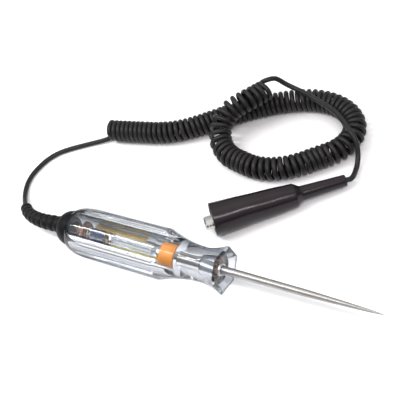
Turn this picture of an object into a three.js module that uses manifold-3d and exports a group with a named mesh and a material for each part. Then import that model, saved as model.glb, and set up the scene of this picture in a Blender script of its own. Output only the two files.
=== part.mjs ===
// Circuit test light: a clear screwdriver-type handle with a lamp inside, a steel probe,
// and a curly lead that ends in a booted alligator clip. Millimetres, +Z up.
// The tool lies along X with its probe towards +X, on the plane z = 0.
import * as THREE from "three";
import { mergeVertices } from "three/addons/utils/BufferGeometryUtils.js";
import Module from "manifold-3d";

const wasm = await Module();
wasm.setup();

// ---------- Driving dimensions ----------
const GAP = 0.3; // clearance between pieces that touch or seat on each other

// Handle
const TOOL_REAR = -94.45; // X of the cap's rear end, which the lead starts from
const HANDLE_LENGTH = 96.6; // clear shell, rear face to nose face
const BODY_D = 28;
const FLUTE_COUNT = 6;
const FLUTE_DEPTH = 1.3;
const FLUTE_HALF_ANGLE = 14; // degrees
const LOBE_TILT = -16; // degrees from straight up to the first lobe, towards +Y
const NOSE_ACROSS_CORNERS = 25.5;
const NOSE_FLANGE = 1.4; // length of the nose's full hexagon
const WAIST_D = 18.5;
const WAIST_AT = 14; // behind the nose face
const SHOULDER_AT = 36.5; // behind the nose face
const REAR_D = 21.2;
const REAR_ROUND = 14; // length of the rounded rear end
const CHAMBER_FRONT = 27; // chamber's front wall, behind the nose face
const RECESS_D = 19;
const RECESS_FLOOR_D = 15.4;
const RECESS_DEPTH = 2.8;

// Probe
const PROBE_OUT = 83.1; // exposed length
const PROBE_D = 4.4;
const PROBE_TAPER_D = 3.8; // where the long point starts
const PROBE_POINT = 40; // length of the long point
const PROBE_HEAD_D = 6.4;
const BUSH_D = 6.6;
const BUSH_LENGTH = 10;
const BUSH_PROUD = 0.8;

// Lamp and contacts
const SOCKET_INSET = 1; // from the chamber's front wall to the socket
const SOCKET_LENGTH = 8.6;
const SOCKET_WALL = 2.9;
const HEAD_CLEAR = 0.5; // least room between the probe's head and the socket round it
const HEAD_THICK = 1.6;
const BUTTON_THICK = 2.1;
const LAMP_D = 8.4;
const LAMP_WALL = 0.7;
const LAMP_CAP_D = 7.2;
const LAMP_CAP = 4.4;
const FILAMENT_D = 0.7;
const SLEEVE_LENGTH = 8.7;
const SLEEVE_CLEAR = 1; // round the lamp's cap
const CUP_THICK = 3.1;
const SPRING_D = 6.4;
const SPRING_WIRE = 0.8;
const SPRING_LENGTH = 10.2;
const SPRING_TURNS = 5;
const TERMINAL_THICK = 1.8;
const TERMINAL_TAIL = 5;
const STRIP_WIDTH = 4.2;
const STRIP_THICK = 0.6;
const STRIP_CLEAR = 0.8; // from the glass to the strip
const STRIP_INSET = 5; // from the glass's front to the strip's tab
const BOARD_WIDTH = 7.2;
const BOARD_THICK = 1;
const BOARD_CLEAR = 0.4; // from the glass to the board
const INSIDE_TURN = 20; // degrees, turns the lamp assembly about the tool axis towards +Y

// End cap and strain relief
const CAP_LENGTH = 8.9;
const CAP_FRONT_D = 20.6;
const CAP_REAR_D = 10;
const CAP_HOLE_D = 8.6;
const SPIGOT_LENGTH = 3;
const LEAD_ROOM = 6.5; // from the spigot to the wire's terminal
const RELIEF_D = 10;
const RELIEF_END_D = 6.8;
const RELIEF_STEM = 8;
const RELIEF_RIBS = 9;
const RELIEF_GROOVE = 0.7;

// Lead
const WIRE_D = 3;
const CURL_D = 14;

// Alligator clip, placed behind the boot's mouth
const BOOT_MOUTH_D = 19.5;
const BOOT_SHOULDER_D = 13.5;
const BOOT_BODY = 47;
const BOOT_STEP = 3.5; // length of the cone from shoulder to neck
const BOOT_NECK_D = 8.4;
const BOOT_END_D = 6.6;
const BOOT_NECK = 25.7;
const BOOT_WALL = 1.3;
const BOOT_AZIMUTH = 41.1; // degrees, from +X towards +Y, mouth to neck
const BOOT_MOUTH = [-14.0, 31.3]; // the mouth's centre on the plane
const JAW_OUT = 4.6; // the jaws' reach past the mouth
const JAW_LINE = -1.5; // where the teeth meet, from the boot's axis
const JAW_WIDTH = 5.2;
const JAW_SHEET = 0.8;
const JAW_TIP_H = 2.5;
const JAW_ROOT_H = 3.1;
const JAW_TOOTH = 1.6; // pitch of the teeth
const JAW_TEETH = 9;
const PIVOT_AT = 28;
const PIVOT_D = 2;
const PIVOT_HEAD_D = 3.2;
const EAR_GAP = 0.3;
const LEVER_GAP = 1.7; // from the moving jaw's lever to the crimp
const LEVER_RISE = 4.4; // lever's underside above the jaw line, at its end
const CRIMP_AT = 40;
const CRIMP_LENGTH = 5;
const CLIP_SPRING_D = 3.9;
const CLIP_SPRING_WIRE = 0.6;

// ---------- Derived places ----------
const AXIS_Z = BODY_D / 2;
const REAR_FACE = TOOL_REAR + CAP_LENGTH + GAP;
const NOSE_X = REAR_FACE + HANDLE_LENGTH;
const behindNose = (distance) => NOSE_X - distance;
const CAP_FRONT_X = REAR_FACE - GAP;
const CAP_REAR_X = CAP_FRONT_X - CAP_LENGTH;
const STRIP_OFFSET = LAMP_D / 2 + STRIP_CLEAR;
const BOARD_OFFSET = LAMP_D / 2 + BOARD_CLEAR;
// The chamber's contents fit round whichever is wider, the board or the socket on the probe's head.
const INSIDE_R = Math.max(
  Math.hypot(BOARD_WIDTH / 2, BOARD_OFFSET + BOARD_THICK),
  PROBE_HEAD_D / 2 + HEAD_CLEAR + SOCKET_WALL,
);
const CHAMBER_R = INSIDE_R + GAP;
const rad = THREE.MathUtils.degToRad;

// ---------- Finishes ----------
const finish = (color, roughness, metalness, extra = {}) =>
  new THREE.MeshStandardMaterial({ color, roughness, metalness, ...extra });
const clearAcetate = () => finish(0xe4edf2, 0.06, 0, { transparent: true, opacity: 0.35 });
const lampGlass = () => finish(0xf4f6f4, 0.05, 0, { transparent: true, opacity: 0.4 });
const nickel = () => finish(0xb4b1aa, 0.3, 1);
const brass = () => finish(0xc29a4e, 0.35, 1);
const copper = () => finish(0xb0693e, 0.4, 1);
const blackVinyl = () => finish(0x1d1c1e, 0.35, 0);
const blackRubber = () => finish(0x232324, 0.6, 0);
const orangePlastic = () => finish(0xe08a1c, 0.45, 0);
const bluePlastic = () => finish(0x2b3f5e, 0.45, 0);
const boardLaminate = () => finish(0xa9a83a, 0.5, 0);

// ---------- Solids ----------
const object = new THREE.Group();

// A closed geometry as a manifold-3d solid.
function solid(geometry) {
  const plain = geometry.clone();
  for (const name of Object.keys(plain.attributes)) if (name !== "position") plain.deleteAttribute(name);
  const merged = mergeVertices(plain, 1e-4);
  return new wasm.Manifold(
    new wasm.Mesh({
      numProp: 3,
      vertProperties: merged.attributes.position.array,
      triVerts: new Uint32Array(merged.index.array),
    }),
  );
}

// A manifold-3d solid as a three.js geometry.
function geometryOf(body) {
  const { vertProperties, triVerts } = body.getMesh();
  return new THREE.BufferGeometry()
    .setAttribute("position", new THREE.BufferAttribute(new Float32Array(vertProperties), 3))
    .setIndex(new THREE.BufferAttribute(new Uint32Array(triVerts), 1));
}

// Adds a named piece to a group.
function piece(group, name, shape, material) {
  const geometry = shape.isBufferGeometry ? shape : geometryOf(shape);
  geometry.computeVertexNormals();
  const mesh = new THREE.Mesh(geometry, material);
  mesh.name = name;
  group.add(mesh);
  return mesh;
}

// Turned shape about X. The outline is [x, radius] pairs that run towards +X along the outside.
function turned(outline, segments = 32) {
  const points = outline.map(([x, r]) => new THREE.Vector2(r, x));
  return new THREE.LatheGeometry(points, segments).rotateZ(-Math.PI / 2);
}

// Solid rod about X between two stations, straight or tapered.
const rod = (x0, x1, d0, d1 = d0, segments = 32) =>
  turned([[x0, 0], [x0, d0 / 2], [x1, d1 / 2], [x1, 0]], segments);

// Ring about X with a plain hole.
const ring = (x0, x1, outerD, innerD, segments = 32) =>
  turned(
    [[x0, innerD / 2], [x0, outerD / 2], [x1, outerD / 2], [x1, innerD / 2], [x0, innerD / 2]],
    segments,
  );

// Box between two corners.
function block(low, high) {
  const size = high.map((value, i) => value - low[i]);
  const centre = high.map((value, i) => (value + low[i]) / 2);
  return new THREE.BoxGeometry(...size).translate(...centre);
}

// Closed loft through rings of points that run anticlockwise when seen from the last ring.
function loft(rings) {
  const count = rings[0].length;
  const points = rings.flat();
  const index = [];
  for (let i = 0; i + 1 < rings.length; i++)
    for (let j = 0; j < count; j++) {
      const k = (j + 1) % count;
      const a = i * count;
      const b = a + count;
      index.push(a + j, a + k, b + k, a + j, b + k, b + j);
    }
  const last = (rings.length - 1) * count;
  for (let j = 1; j + 1 < count; j++) {
    index.push(0, j + 1, j);
    index.push(last, last + j, last + j + 1);
  }
  return new THREE.BufferGeometry().setFromPoints(points).setIndex(index);
}

// Tube of a regular section along a curve.
function tube(curve, diameter, sides, steps) {
  const section = new THREE.Shape(
    Array.from({ length: sides }, (_, i) => {
      const angle = (2 * Math.PI * i) / sides;
      return new THREE.Vector2(Math.cos(angle), Math.sin(angle)).multiplyScalar(diameter / 2);
    }),
  );
  return new THREE.ExtrudeGeometry(section, { steps, extrudePath: curve, bevelEnabled: false });
}

const curveThrough = (points) =>
  new THREE.CatmullRomCurve3(points.map((p) => new THREE.Vector3(...p)), false, "centripetal");

// ---------- Handle shell ----------
const SECTION_POINTS = 60;

// Radius of the round handle at a distance behind the nose face.
function roundRadius(f) {
  const flange = NOSE_ACROSS_CORNERS / 2;
  const waist = WAIST_D / 2;
  const body = BODY_D / 2;
  if (f <= NOSE_FLANGE) return flange;
  if (f <= WAIST_AT) {
    const t = (f - NOSE_FLANGE) / (WAIST_AT - NOSE_FLANGE);
    return waist + (flange - waist) * (1 - t) ** 1.8;
  }
  if (f <= SHOULDER_AT) {
    const t = (f - WAIST_AT) / (SHOULDER_AT - WAIST_AT);
    return waist + (body - waist) * t ** 1.75;
  }
  const t = Math.max(0, (f - (HANDLE_LENGTH - REAR_ROUND)) / REAR_ROUND);
  return REAR_D / 2 + (body - REAR_D / 2) * Math.sqrt(Math.max(0, 1 - t * t));
}

// Radius of the handle's section, by distance behind the nose and angle from the first lobe in degrees.
function shellRadius(f, angle) {
  const pitch = 360 / FLUTE_COUNT;
  const fromFlute = Math.abs((((angle % pitch) + pitch) % pitch) - pitch / 2);
  const across = Math.min(1, fromFlute / FLUTE_HALF_ANGLE);
  const dip = Math.cos((Math.PI / 2) * across) ** 2;
  const radius = Math.min(roundRadius(f), BODY_D / 2 - FLUTE_DEPTH * dip);
  const flat = Math.cos(Math.PI / 6) / Math.cos(rad(fromFlute));
  const hexagon = Math.max(0, 1 - Math.max(0, f - NOSE_FLANGE) / (WAIST_AT - NOSE_FLANGE));
  return radius * (1 - hexagon + hexagon * flat);
}

const shellStations = [
  ...[1, 0.96, 0.86, 0.69, 0.46, 0.2, 0].map((t) => HANDLE_LENGTH - REAR_ROUND * (1 - t)),
  SHOULDER_AT + 2,
  SHOULDER_AT,
  ...[0.9, 0.78, 0.64, 0.5, 0.36, 0.2, 0].map((t) => WAIST_AT + t * (SHOULDER_AT - WAIST_AT)),
  ...[0.8, 0.6, 0.4, 0.25, 0.12, 0].map((t) => NOSE_FLANGE + t * (WAIST_AT - NOSE_FLANGE)),
  0,
];

const shellOutside = loft(
  shellStations.map((f) =>
    Array.from({ length: SECTION_POINTS }, (_, i) => {
      const angle = (360 * i) / SECTION_POINTS;
      const r = shellRadius(f, angle);
      const turn = rad(LOBE_TILT - angle);
      return new THREE.Vector3(behindNose(f), r * Math.sin(turn), r * Math.cos(turn));
    }),
  ),
);

const chamber = rod(REAR_FACE - 1, behindNose(CHAMBER_FRONT), 2 * CHAMBER_R);
const bushSeat = rod(behindNose(RECESS_DEPTH + BUSH_LENGTH), NOSE_X + 1, BUSH_D + 2 * GAP);
const probeHole = rod(behindNose(CHAMBER_FRONT + 1), NOSE_X + 1, PROBE_D + 2 * GAP);
const noseRecess = turned([
  [behindNose(RECESS_DEPTH), 0],
  [behindNose(RECESS_DEPTH), RECESS_FLOOR_D / 2],
  [NOSE_X, RECESS_D / 2],
  [NOSE_X + 1, RECESS_D / 2],
  [NOSE_X + 1, 0],
]);

const tool = new THREE.Group();
tool.position.z = AXIS_Z;
object.add(tool);

const shell = [chamber, bushSeat, probeHole, noseRecess].reduce(
  (body, hole) => body.subtract(solid(hole)),
  solid(shellOutside),
);
piece(tool, "handle_shell", shell, clearAcetate());

// ---------- Probe ----------
const SOCKET_FRONT = CHAMBER_FRONT + SOCKET_INSET;
const SOCKET_REAR = SOCKET_FRONT + SOCKET_LENGTH;
const HEAD_FRONT = SOCKET_FRONT + SOCKET_LENGTH / 2;
const HEAD_REAR = HEAD_FRONT + HEAD_THICK;
const pointStart = NOSE_X + PROBE_OUT - PROBE_POINT;
const probeOutline = [
  [behindNose(HEAD_REAR), 0],
  [behindNose(HEAD_REAR), PROBE_HEAD_D / 2],
  [behindNose(HEAD_FRONT), PROBE_HEAD_D / 2],
  [behindNose(HEAD_FRONT), PROBE_D / 2],
  [NOSE_X, PROBE_D / 2],
  ...[0, 0.25, 0.5, 0.7, 0.85, 0.95].map((t) => [
    pointStart + t * PROBE_POINT,
    (PROBE_TAPER_D / 2) * (1 - t) ** 0.55,
  ]),
  [NOSE_X + PROBE_OUT, 0],
];
piece(tool, "probe", turned(probeOutline, 24), nickel());

const bushFront = behindNose(RECESS_DEPTH) + BUSH_PROUD;
const bushRear = behindNose(RECESS_DEPTH + BUSH_LENGTH) + GAP;
piece(tool, "probe_bush", ring(bushRear, bushFront, BUSH_D, PROBE_D + 2 * GAP, 24), nickel());

// ---------- Lamp, contacts and board ----------
const inside = new THREE.Group();
inside.rotation.x = -rad(INSIDE_TURN);
tool.add(inside);

const lampSocket = solid(rod(behindNose(SOCKET_REAR), behindNose(SOCKET_FRONT), 2 * INSIDE_R))
  .subtract(solid(rod(behindNose(SOCKET_REAR + 1), behindNose(SOCKET_FRONT - 1), PROBE_D + 2 * GAP)))
  .subtract(
    solid(rod(behindNose(SOCKET_REAR + 1), behindNose(HEAD_FRONT) + GAP, 2 * (INSIDE_R - SOCKET_WALL))),
  );
piece(inside, "lamp_socket", lampSocket, orangePlastic());

const BUTTON_FRONT = HEAD_REAR + GAP;
const BUTTON_REAR = BUTTON_FRONT + BUTTON_THICK;
piece(
  inside,
  "front_contact",
  turned([
    [behindNose(BUTTON_REAR), 0],
    [behindNose(BUTTON_REAR), 1.4],
    [behindNose(BUTTON_REAR - BUTTON_THICK / 2), 2.2],
    [behindNose(BUTTON_REAR - BUTTON_THICK / 2), PROBE_HEAD_D / 2],
    [behindNose(BUTTON_FRONT), PROBE_HEAD_D / 2],
    [behindNose(BUTTON_FRONT), 0],
  ], 24),
  brass(),
);

// A lamp end cap: a cup with a conical nose, at a distance behind the nose face.
// The nose points forward when side is 1 and rearward when side is -1.
function lampCap(tipAt, side) {
  const along = (distance) => behindNose(tipAt) - side * distance;
  const outline = [
    [along(LAMP_CAP), 0],
    [along(LAMP_CAP), LAMP_CAP_D / 2],
    [along(LAMP_CAP * 0.4), LAMP_CAP_D / 2],
    [along(LAMP_CAP * 0.1), LAMP_CAP_D / 5],
    [along(0), LAMP_CAP_D / 7],
    [along(0), 0],
  ];
  return turned(side > 0 ? outline : outline.reverse(), 24);
}
// The front pieces stand behind the socket and the rear ones in front of the end cap's spigot,
// so the glass is as long as what is left between them.
const SPIGOT_FRONT_X = CAP_FRONT_X + SPIGOT_LENGTH;
const TERMINAL_REAR = NOSE_X - SPIGOT_FRONT_X - LEAD_ROOM;
const TERMINAL_FRONT = TERMINAL_REAR - TERMINAL_THICK;
const SPRING_REAR = TERMINAL_FRONT - GAP - SPRING_WIRE / 2;
const SPRING_FRONT = SPRING_REAR - SPRING_LENGTH;
const CUP_FLANGE_REAR = SPRING_FRONT - SPRING_WIRE / 2 - GAP;
const CUP_FRONT = CUP_FLANGE_REAR - CUP_THICK / 2;
const CUP_REAR = CUP_FRONT + CUP_THICK;
const LAMP_REAR = CUP_FRONT - GAP;
const GLASS_REAR = LAMP_REAR - LAMP_CAP - GAP;
const LAMP_FRONT = BUTTON_REAR + GAP;
const GLASS_FRONT = LAMP_FRONT + LAMP_CAP + GAP;
piece(inside, "lamp_front_cap", lampCap(LAMP_FRONT, 1), nickel());
piece(inside, "lamp_rear_cap", lampCap(LAMP_REAR, -1), nickel());
piece(
  inside,
  "lamp_glass",
  ring(behindNose(GLASS_REAR), behindNose(GLASS_FRONT), LAMP_D, LAMP_D - 2 * LAMP_WALL, 24),
  lampGlass(),
);
piece(
  inside,
  "lamp_filament",
  rod(behindNose(GLASS_REAR - GAP), behindNose(GLASS_FRONT + GAP), FILAMENT_D, FILAMENT_D, 8),
  nickel(),
);

piece(
  inside,
  "rear_contact",
  turned([
    [behindNose(CUP_REAR), 0],
    [behindNose(CUP_REAR), SPRING_D / 2 - SPRING_WIRE - GAP],
    [behindNose(CUP_FLANGE_REAR), SPRING_D / 2 - SPRING_WIRE - GAP],
    [behindNose(CUP_FLANGE_REAR), LAMP_CAP_D / 2],
    [behindNose(CUP_FRONT), LAMP_CAP_D / 2],
    [behindNose(CUP_FRONT), 0],
  ], 24),
  brass(),
);

const SLEEVE_FRONT = GLASS_REAR + LAMP_CAP - 1;
const SLEEVE_REAR = SLEEVE_FRONT + SLEEVE_LENGTH;
const stripSlot = block(
  [behindNose(SLEEVE_REAR + 1), -STRIP_WIDTH / 2 - GAP, STRIP_OFFSET - GAP],
  [behindNose(SLEEVE_FRONT - 1), STRIP_WIDTH / 2 + GAP, CHAMBER_R],
);
const sleeve = solid(
  ring(behindNose(SLEEVE_REAR), behindNose(SLEEVE_FRONT), 2 * INSIDE_R, LAMP_CAP_D + 2 * SLEEVE_CLEAR),
);
piece(inside, "insulating_sleeve", sleeve.subtract(solid(stripSlot)), bluePlastic());

// Brass strip along the lamp, with a tab turned down towards the glass at its front end.
const STRIP_REAR = SLEEVE_REAR - 0.6;
const STRIP_FRONT = GLASS_FRONT + STRIP_INSET;
const strip = solid(
  block(
    [behindNose(STRIP_REAR), -STRIP_WIDTH / 2, STRIP_OFFSET],
    [behindNose(STRIP_FRONT), STRIP_WIDTH / 2, STRIP_OFFSET + STRIP_THICK],
  ),
).add(
  solid(
    block(
      [behindNose(STRIP_FRONT + STRIP_THICK), -STRIP_WIDTH / 2, LAMP_D / 2 + GAP],
      [behindNose(STRIP_FRONT), STRIP_WIDTH / 2, STRIP_OFFSET + STRIP_THICK / 2],
    ),
  ),
);
piece(inside, "contact_strip", strip, brass());

piece(
  inside,
  "circuit_board",
  block(
    [behindNose(SLEEVE_FRONT - GAP), -BOARD_WIDTH / 2, -BOARD_OFFSET - BOARD_THICK],
    [behindNose(SOCKET_REAR + GAP), BOARD_WIDTH / 2, -BOARD_OFFSET],
  ),
  boardLaminate(),
);

// Helical spring of round wire about an axis, between two stations.
function spring(length, meanD, wireD, turns, sides, stepsPerTurn) {
  class Helix extends THREE.Curve {
    getPoint(t, target = new THREE.Vector3()) {
      const angle = 2 * Math.PI * turns * t;
      return target.set(length * t, (meanD / 2) * Math.cos(angle), (meanD / 2) * Math.sin(angle));
    }
  }
  return tube(new Helix(), wireD, sides, turns * stepsPerTurn);
}
const coil = spring(SPRING_LENGTH, SPRING_D - SPRING_WIRE, SPRING_WIRE, SPRING_TURNS, 6, 14);
piece(inside, "contact_spring", coil.translate(behindNose(SPRING_REAR), 0, 0), nickel());

// Copper disc that the spring bears on, with a tail that holds the lead's end.
const TERMINAL_TAIL_END = TERMINAL_REAR + TERMINAL_TAIL;
piece(
  inside,
  "wire_terminal",
  turned([
    [behindNose(TERMINAL_TAIL_END), 0],
    [behindNose(TERMINAL_TAIL_END), WIRE_D / 2 + 0.5],
    [behindNose(TERMINAL_REAR), WIRE_D / 2 + 0.5],
    [behindNose(TERMINAL_REAR), INSIDE_R - 1],
    [behindNose(TERMINAL_FRONT), INSIDE_R - 1],
    [behindNose(TERMINAL_FRONT), 0],
  ], 24),
  copper(),
);

// ---------- End cap, strain relief and the lead inside them ----------
const capDome = [0, 0.2, 0.4, 0.6, 0.8, 0.95, 1].map((t) => {
  const rise = Math.sqrt(1 - t * t);
  return [CAP_FRONT_X - CAP_LENGTH * t, CAP_REAR_D / 2 + ((CAP_FRONT_D - CAP_REAR_D) / 2) * rise];
});
const endCap = solid(turned([[CAP_REAR_X, 0], ...capDome.reverse(), [CAP_FRONT_X, 0]]))
  .add(solid(rod(CAP_FRONT_X - 1, SPIGOT_FRONT_X, 2 * INSIDE_R)))
  .subtract(solid(rod(CAP_REAR_X - 1, SPIGOT_FRONT_X + 1, CAP_HOLE_D)));
piece(tool, "end_cap", endCap, blackVinyl());

// Route of the strain relief's centre, from the cap's rear face.
const reliefRoute = [
  [CAP_REAR_X - GAP, 0, AXIS_Z],
  [CAP_REAR_X - 2, 0, AXIS_Z],
  [-102, 0, 13.6],
  [-110, 0.4, 12.4],
  [-119, 2.2, 10.4],
  [-127.5, 5.6, 8.1],
  [-134.5, 10.4, 6.0],
];
const reliefCurve = curveThrough(reliefRoute);
const RELIEF_SIDES = 16;
const reliefSteps = RELIEF_RIBS * 4;
const reliefFrames = reliefCurve.computeFrenetFrames(reliefSteps, false);
const reliefRings = Array.from({ length: reliefSteps + 1 }, (_, i) => {
  const t = i / reliefSteps;
  const centre = reliefCurve.getPointAt(t);
  const groove = i % 4 === 3 ? RELIEF_GROOVE : 0;
  const r = (RELIEF_D * (1 - t) + RELIEF_END_D * t) / 2 - groove;
  return Array.from({ length: RELIEF_SIDES }, (_, j) => {
    const angle = (2 * Math.PI * j) / RELIEF_SIDES;
    return centre
      .clone()
      .addScaledVector(reliefFrames.normals[i], r * Math.cos(angle))
      .addScaledVector(reliefFrames.binormals[i], r * Math.sin(angle));
  });
});
const stemD = CAP_HOLE_D - 2 * GAP;
const stem = rod(CAP_REAR_X - GAP - 1, CAP_REAR_X + RELIEF_STEM, stemD).translate(0, 0, AXIS_Z);
piece(object, "strain_relief", solid(loft(reliefRings)).add(solid(stem)), blackRubber());

const innerLeadFront = behindNose(TERMINAL_TAIL_END) - GAP;
const innerLeadRear = CAP_REAR_X + RELIEF_STEM + GAP;
piece(tool, "inner_lead", rod(innerLeadRear, innerLeadFront, WIRE_D, WIRE_D, 12), blackVinyl());

// ---------- Lead ----------
const rearLeadRoute = [
  [-134.8, 10.6, 5.9],
  [-138.0, 13.3, 4.7],
  [-141.6, 16.9, 3.3],
  [-145.3, 21.2, 2.2],
  [-148.4, 26.2, 1.7],
  [-150.6, 31.6, 1.6],
  [-151.5, 38.0, 1.6],
  [-150.9, 45.4, 1.6],
  [-149.0, 52.4, 1.6],
  [-145.3, 58.6, 1.6],
  [-139.6, 63.9, 1.6],
  [-132.9, 68.6, 1.6],
  [-126.4, 72.9, 1.6],
  [-121.4, 75.7, 1.9],
  [-117.0, 77.4, 3.0],
];
const curlRoute = [
  [-116.7, 81.5, 7.05],
  [-111.0, 82.3, 7.05],
  [-103.0, 83.7, 7.05],
  [-95.0, 85.1, 7.05],
  [-85.5, 86.8, 7.05],
  [-76.5, 89.3, 7.05],
  [-68.0, 93.2, 7.05],
  [-61.0, 98.1, 7.05],
  [-55.0, 102.9, 7.05],
  [-49.6, 107.6, 7.05],
  [-44.0, 112.3, 7.05],
  [-36.5, 117.9, 7.05],
  [-27.0, 124.3, 7.05],
  [-17.5, 129.5, 7.05],
  [-8.5, 133.4, 7.05],
  [1.5, 136.0, 7.05],
  [11.5, 136.0, 7.05],
  [21.3, 133.0, 7.05],
  [29.3, 127.3, 7.05],
  [34.4, 119.6, 7.05],
  [35.6, 110.8, 7.05],
  [33.3, 102.8, 7.05],
  [28.6, 96.6, 7.05],
  [22.4, 91.2, 7.05],
  [15.0, 84.6, 7.05],
  [7.8, 79.9, 7.05],
  [-0.2, 76.8, 7.05],
  [-9.3, 75.7, 7.05],
  [-18.4, 77.4, 7.05],
  [-27.6, 80.1, 7.05],
  [-34.8, 85.1, 7.8],
  [-38.3, 89.4, 9.6],
  [-39.9, 93.6, 12.0],
  [-40.1, 97.8, 14.6],
  [-38.7, 101.8, 17.3],
  [-35.6, 106.0, 19.9],
  [-29.4, 111.9, 21.9],
  [-24.8, 118.3, 21.9],
  [-21.1, 125.8, 21.6],
];
const frontLeadRoute = [
  [-20.9, 126.4, 27.1],
  [-19.4, 129.4, 26.6],
  [-18.0, 132.0, 24.3],
  [-16.0, 133.6, 21.2],
  [-12.9, 134.3, 18.4],
  [-8.2, 134.2, 16.5],
  [-2.0, 132.4, 16.1],
  [5.1, 129.3, 16.1],
  [11.3, 126.6, 16.0],
  [18.3, 123.2, 16.0],
  [25.0, 118.7, 16.2],
  [30.3, 113.9, 16.4],
  [34.7, 109.9, 16.2],
  [38.4, 106.7, 15.3],
  [40.8, 104.6, 13.3],
  [42.4, 102.6, 10.3],
  [43.4, 100.4, 7.1],
  [44.2, 97.2, 4.2],
  [44.8, 92.8, 2.7],
];

piece(object, "rear_lead", tube(curveThrough(rearLeadRoute), WIRE_D, 8, 24), blackVinyl());
piece(object, "curly_lead", tube(curveThrough(curlRoute), CURL_D, 12, 72), blackVinyl());

// ---------- Alligator clip ----------
// The boot lies on its cone, so its axis falls from the mouth towards the neck.
const clip = new THREE.Group();
const coneFall = Math.asin((BOOT_MOUTH_D - BOOT_SHOULDER_D) / 2 / BOOT_BODY);
const CLIP_LIFT = 0.05;
clip.rotation.set(0, coneFall, rad(BOOT_AZIMUTH), "ZYX");
clip.position.set(...BOOT_MOUTH, BOOT_MOUTH_D / 2 + CLIP_LIFT);
object.add(clip);

const SHOULDER_END = BOOT_BODY + BOOT_STEP;
const BOOT_LENGTH = SHOULDER_END + BOOT_NECK;
const neckHoleD = WIRE_D + 2 * GAP;
const boot = turned([
  [0, BOOT_MOUTH_D / 2 - BOOT_WALL],
  [0, BOOT_MOUTH_D / 2],
  [BOOT_BODY, BOOT_SHOULDER_D / 2],
  [SHOULDER_END, BOOT_NECK_D / 2],
  [BOOT_LENGTH, BOOT_END_D / 2],
  [BOOT_LENGTH, neckHoleD / 2],
  [SHOULDER_END - 1, neckHoleD / 2],
  [BOOT_BODY - 1, BOOT_SHOULDER_D / 2 - BOOT_WALL],
  [0, BOOT_MOUTH_D / 2 - BOOT_WALL],
], 36);
piece(clip, "clip_boot", boot, blackVinyl());

// Side outline of a jaw, extruded across the clip. Heights run away from the jaw line.
function slab(points, y0, y1) {
  const shape = new THREE.Shape(points.map(([x, z]) => new THREE.Vector2(x, z)));
  const geometry = new THREE.ExtrudeGeometry(shape, { depth: y1 - y0, bevelEnabled: false, steps: 1 });
  return geometry.rotateX(Math.PI / 2).translate(0, y1, 0);
}
// Cylinder across the clip, centred on the pivot.
const acrossPivot = (diameter, y0, y1, segments = 20) =>
  new THREE.CylinderGeometry(diameter / 2, diameter / 2, y1 - y0, segments)
    .translate(PIVOT_AT, (y0 + y1) / 2, PIVOT_Z);

const PIVOT_Z = JAW_LINE + 0.6;
const FRONT_ROOT = PIVOT_AT - 6; // where the jaw's front part ends

// Notches between the teeth, cut into the edge at the given height; up is 1 or -1.
function toothNotches(edge, up) {
  return Array.from({ length: JAW_TEETH }, (_, i) => {
    const x = -JAW_OUT + 0.6 + i * JAW_TOOTH;
    const points = [
      [x, edge - up * 0.5],
      [x + JAW_TOOTH * 0.8, edge - up * 0.5],
      [x + JAW_TOOTH * 0.4, edge + up * 1],
    ];
    return solid(slab(up > 0 ? points : points.reverse(), -JAW_WIDTH, JAW_WIDTH));
  });
}

// Front part of a jaw: a channel that opens towards the other jaw, with teeth along both walls.
function jawFront(up) {
  const root = up > 0 ? FRONT_ROOT + 3 : FRONT_ROOT;
  const edge = JAW_LINE + (up * GAP) / 2;
  const outline = [
    [-JAW_OUT, edge],
    [root, edge],
    [root, edge + up * JAW_ROOT_H],
    [FRONT_ROOT - 1, edge + up * JAW_ROOT_H],
    [-JAW_OUT + 0.8, edge + up * JAW_TIP_H],
    [-JAW_OUT, edge + up * (JAW_TIP_H - 0.8)],
  ];
  const hollow = [
    [-JAW_OUT + JAW_SHEET, edge - up * 1],
    [root + 1, edge - up * 1],
    [root + 1, edge + up * (JAW_ROOT_H - JAW_SHEET)],
    [FRONT_ROOT - 1, edge + up * (JAW_ROOT_H - JAW_SHEET)],
    [-JAW_OUT + JAW_SHEET, edge + up * (JAW_TIP_H - JAW_SHEET)],
  ];
  const order = (points) => (up > 0 ? points : [...points].reverse());
  const inner = JAW_WIDTH / 2 - JAW_SHEET;
  let body = solid(slab(order(outline), -JAW_WIDTH / 2, JAW_WIDTH / 2)).subtract(
    solid(slab(order(hollow), -inner, inner)),
  );
  for (const notch of toothNotches(edge, up)) body = body.subtract(notch);
  return body;
}

// Moving jaw: ears on the pivot and a lever that rises behind it.
const movingEarTop = PIVOT_Z + CLIP_SPRING_D / 2 + GAP + JAW_SHEET;
const movingEdge = JAW_LINE + GAP / 2;
const earOutline = [
  [FRONT_ROOT + 1, movingEdge],
  [PIVOT_AT, PIVOT_Z - PIVOT_D],
  [PIVOT_AT + 2.2, PIVOT_Z - 1],
  [PIVOT_AT + 3.6, movingEarTop],
  [FRONT_ROOT + 1, movingEdge + JAW_ROOT_H],
];
const leverTop = JAW_LINE + LEVER_RISE + JAW_SHEET;
const leverEnd = CRIMP_AT - LEVER_GAP;
const leverOutline = [
  [FRONT_ROOT + 1, movingEdge + JAW_ROOT_H - JAW_SHEET],
  [PIVOT_AT - 2, movingEarTop - JAW_SHEET],
  [PIVOT_AT + 3, movingEarTop - JAW_SHEET],
  [leverEnd, leverTop - JAW_SHEET],
  [leverEnd, leverTop],
  [PIVOT_AT + 3, movingEarTop],
  [PIVOT_AT - 2, movingEarTop],
  [FRONT_ROOT + 1, movingEdge + JAW_ROOT_H],
];
const movingInner = JAW_WIDTH / 2 - JAW_SHEET;
const pivotHole = solid(acrossPivot(PIVOT_D + 2 * GAP, -JAW_WIDTH, JAW_WIDTH));
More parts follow.
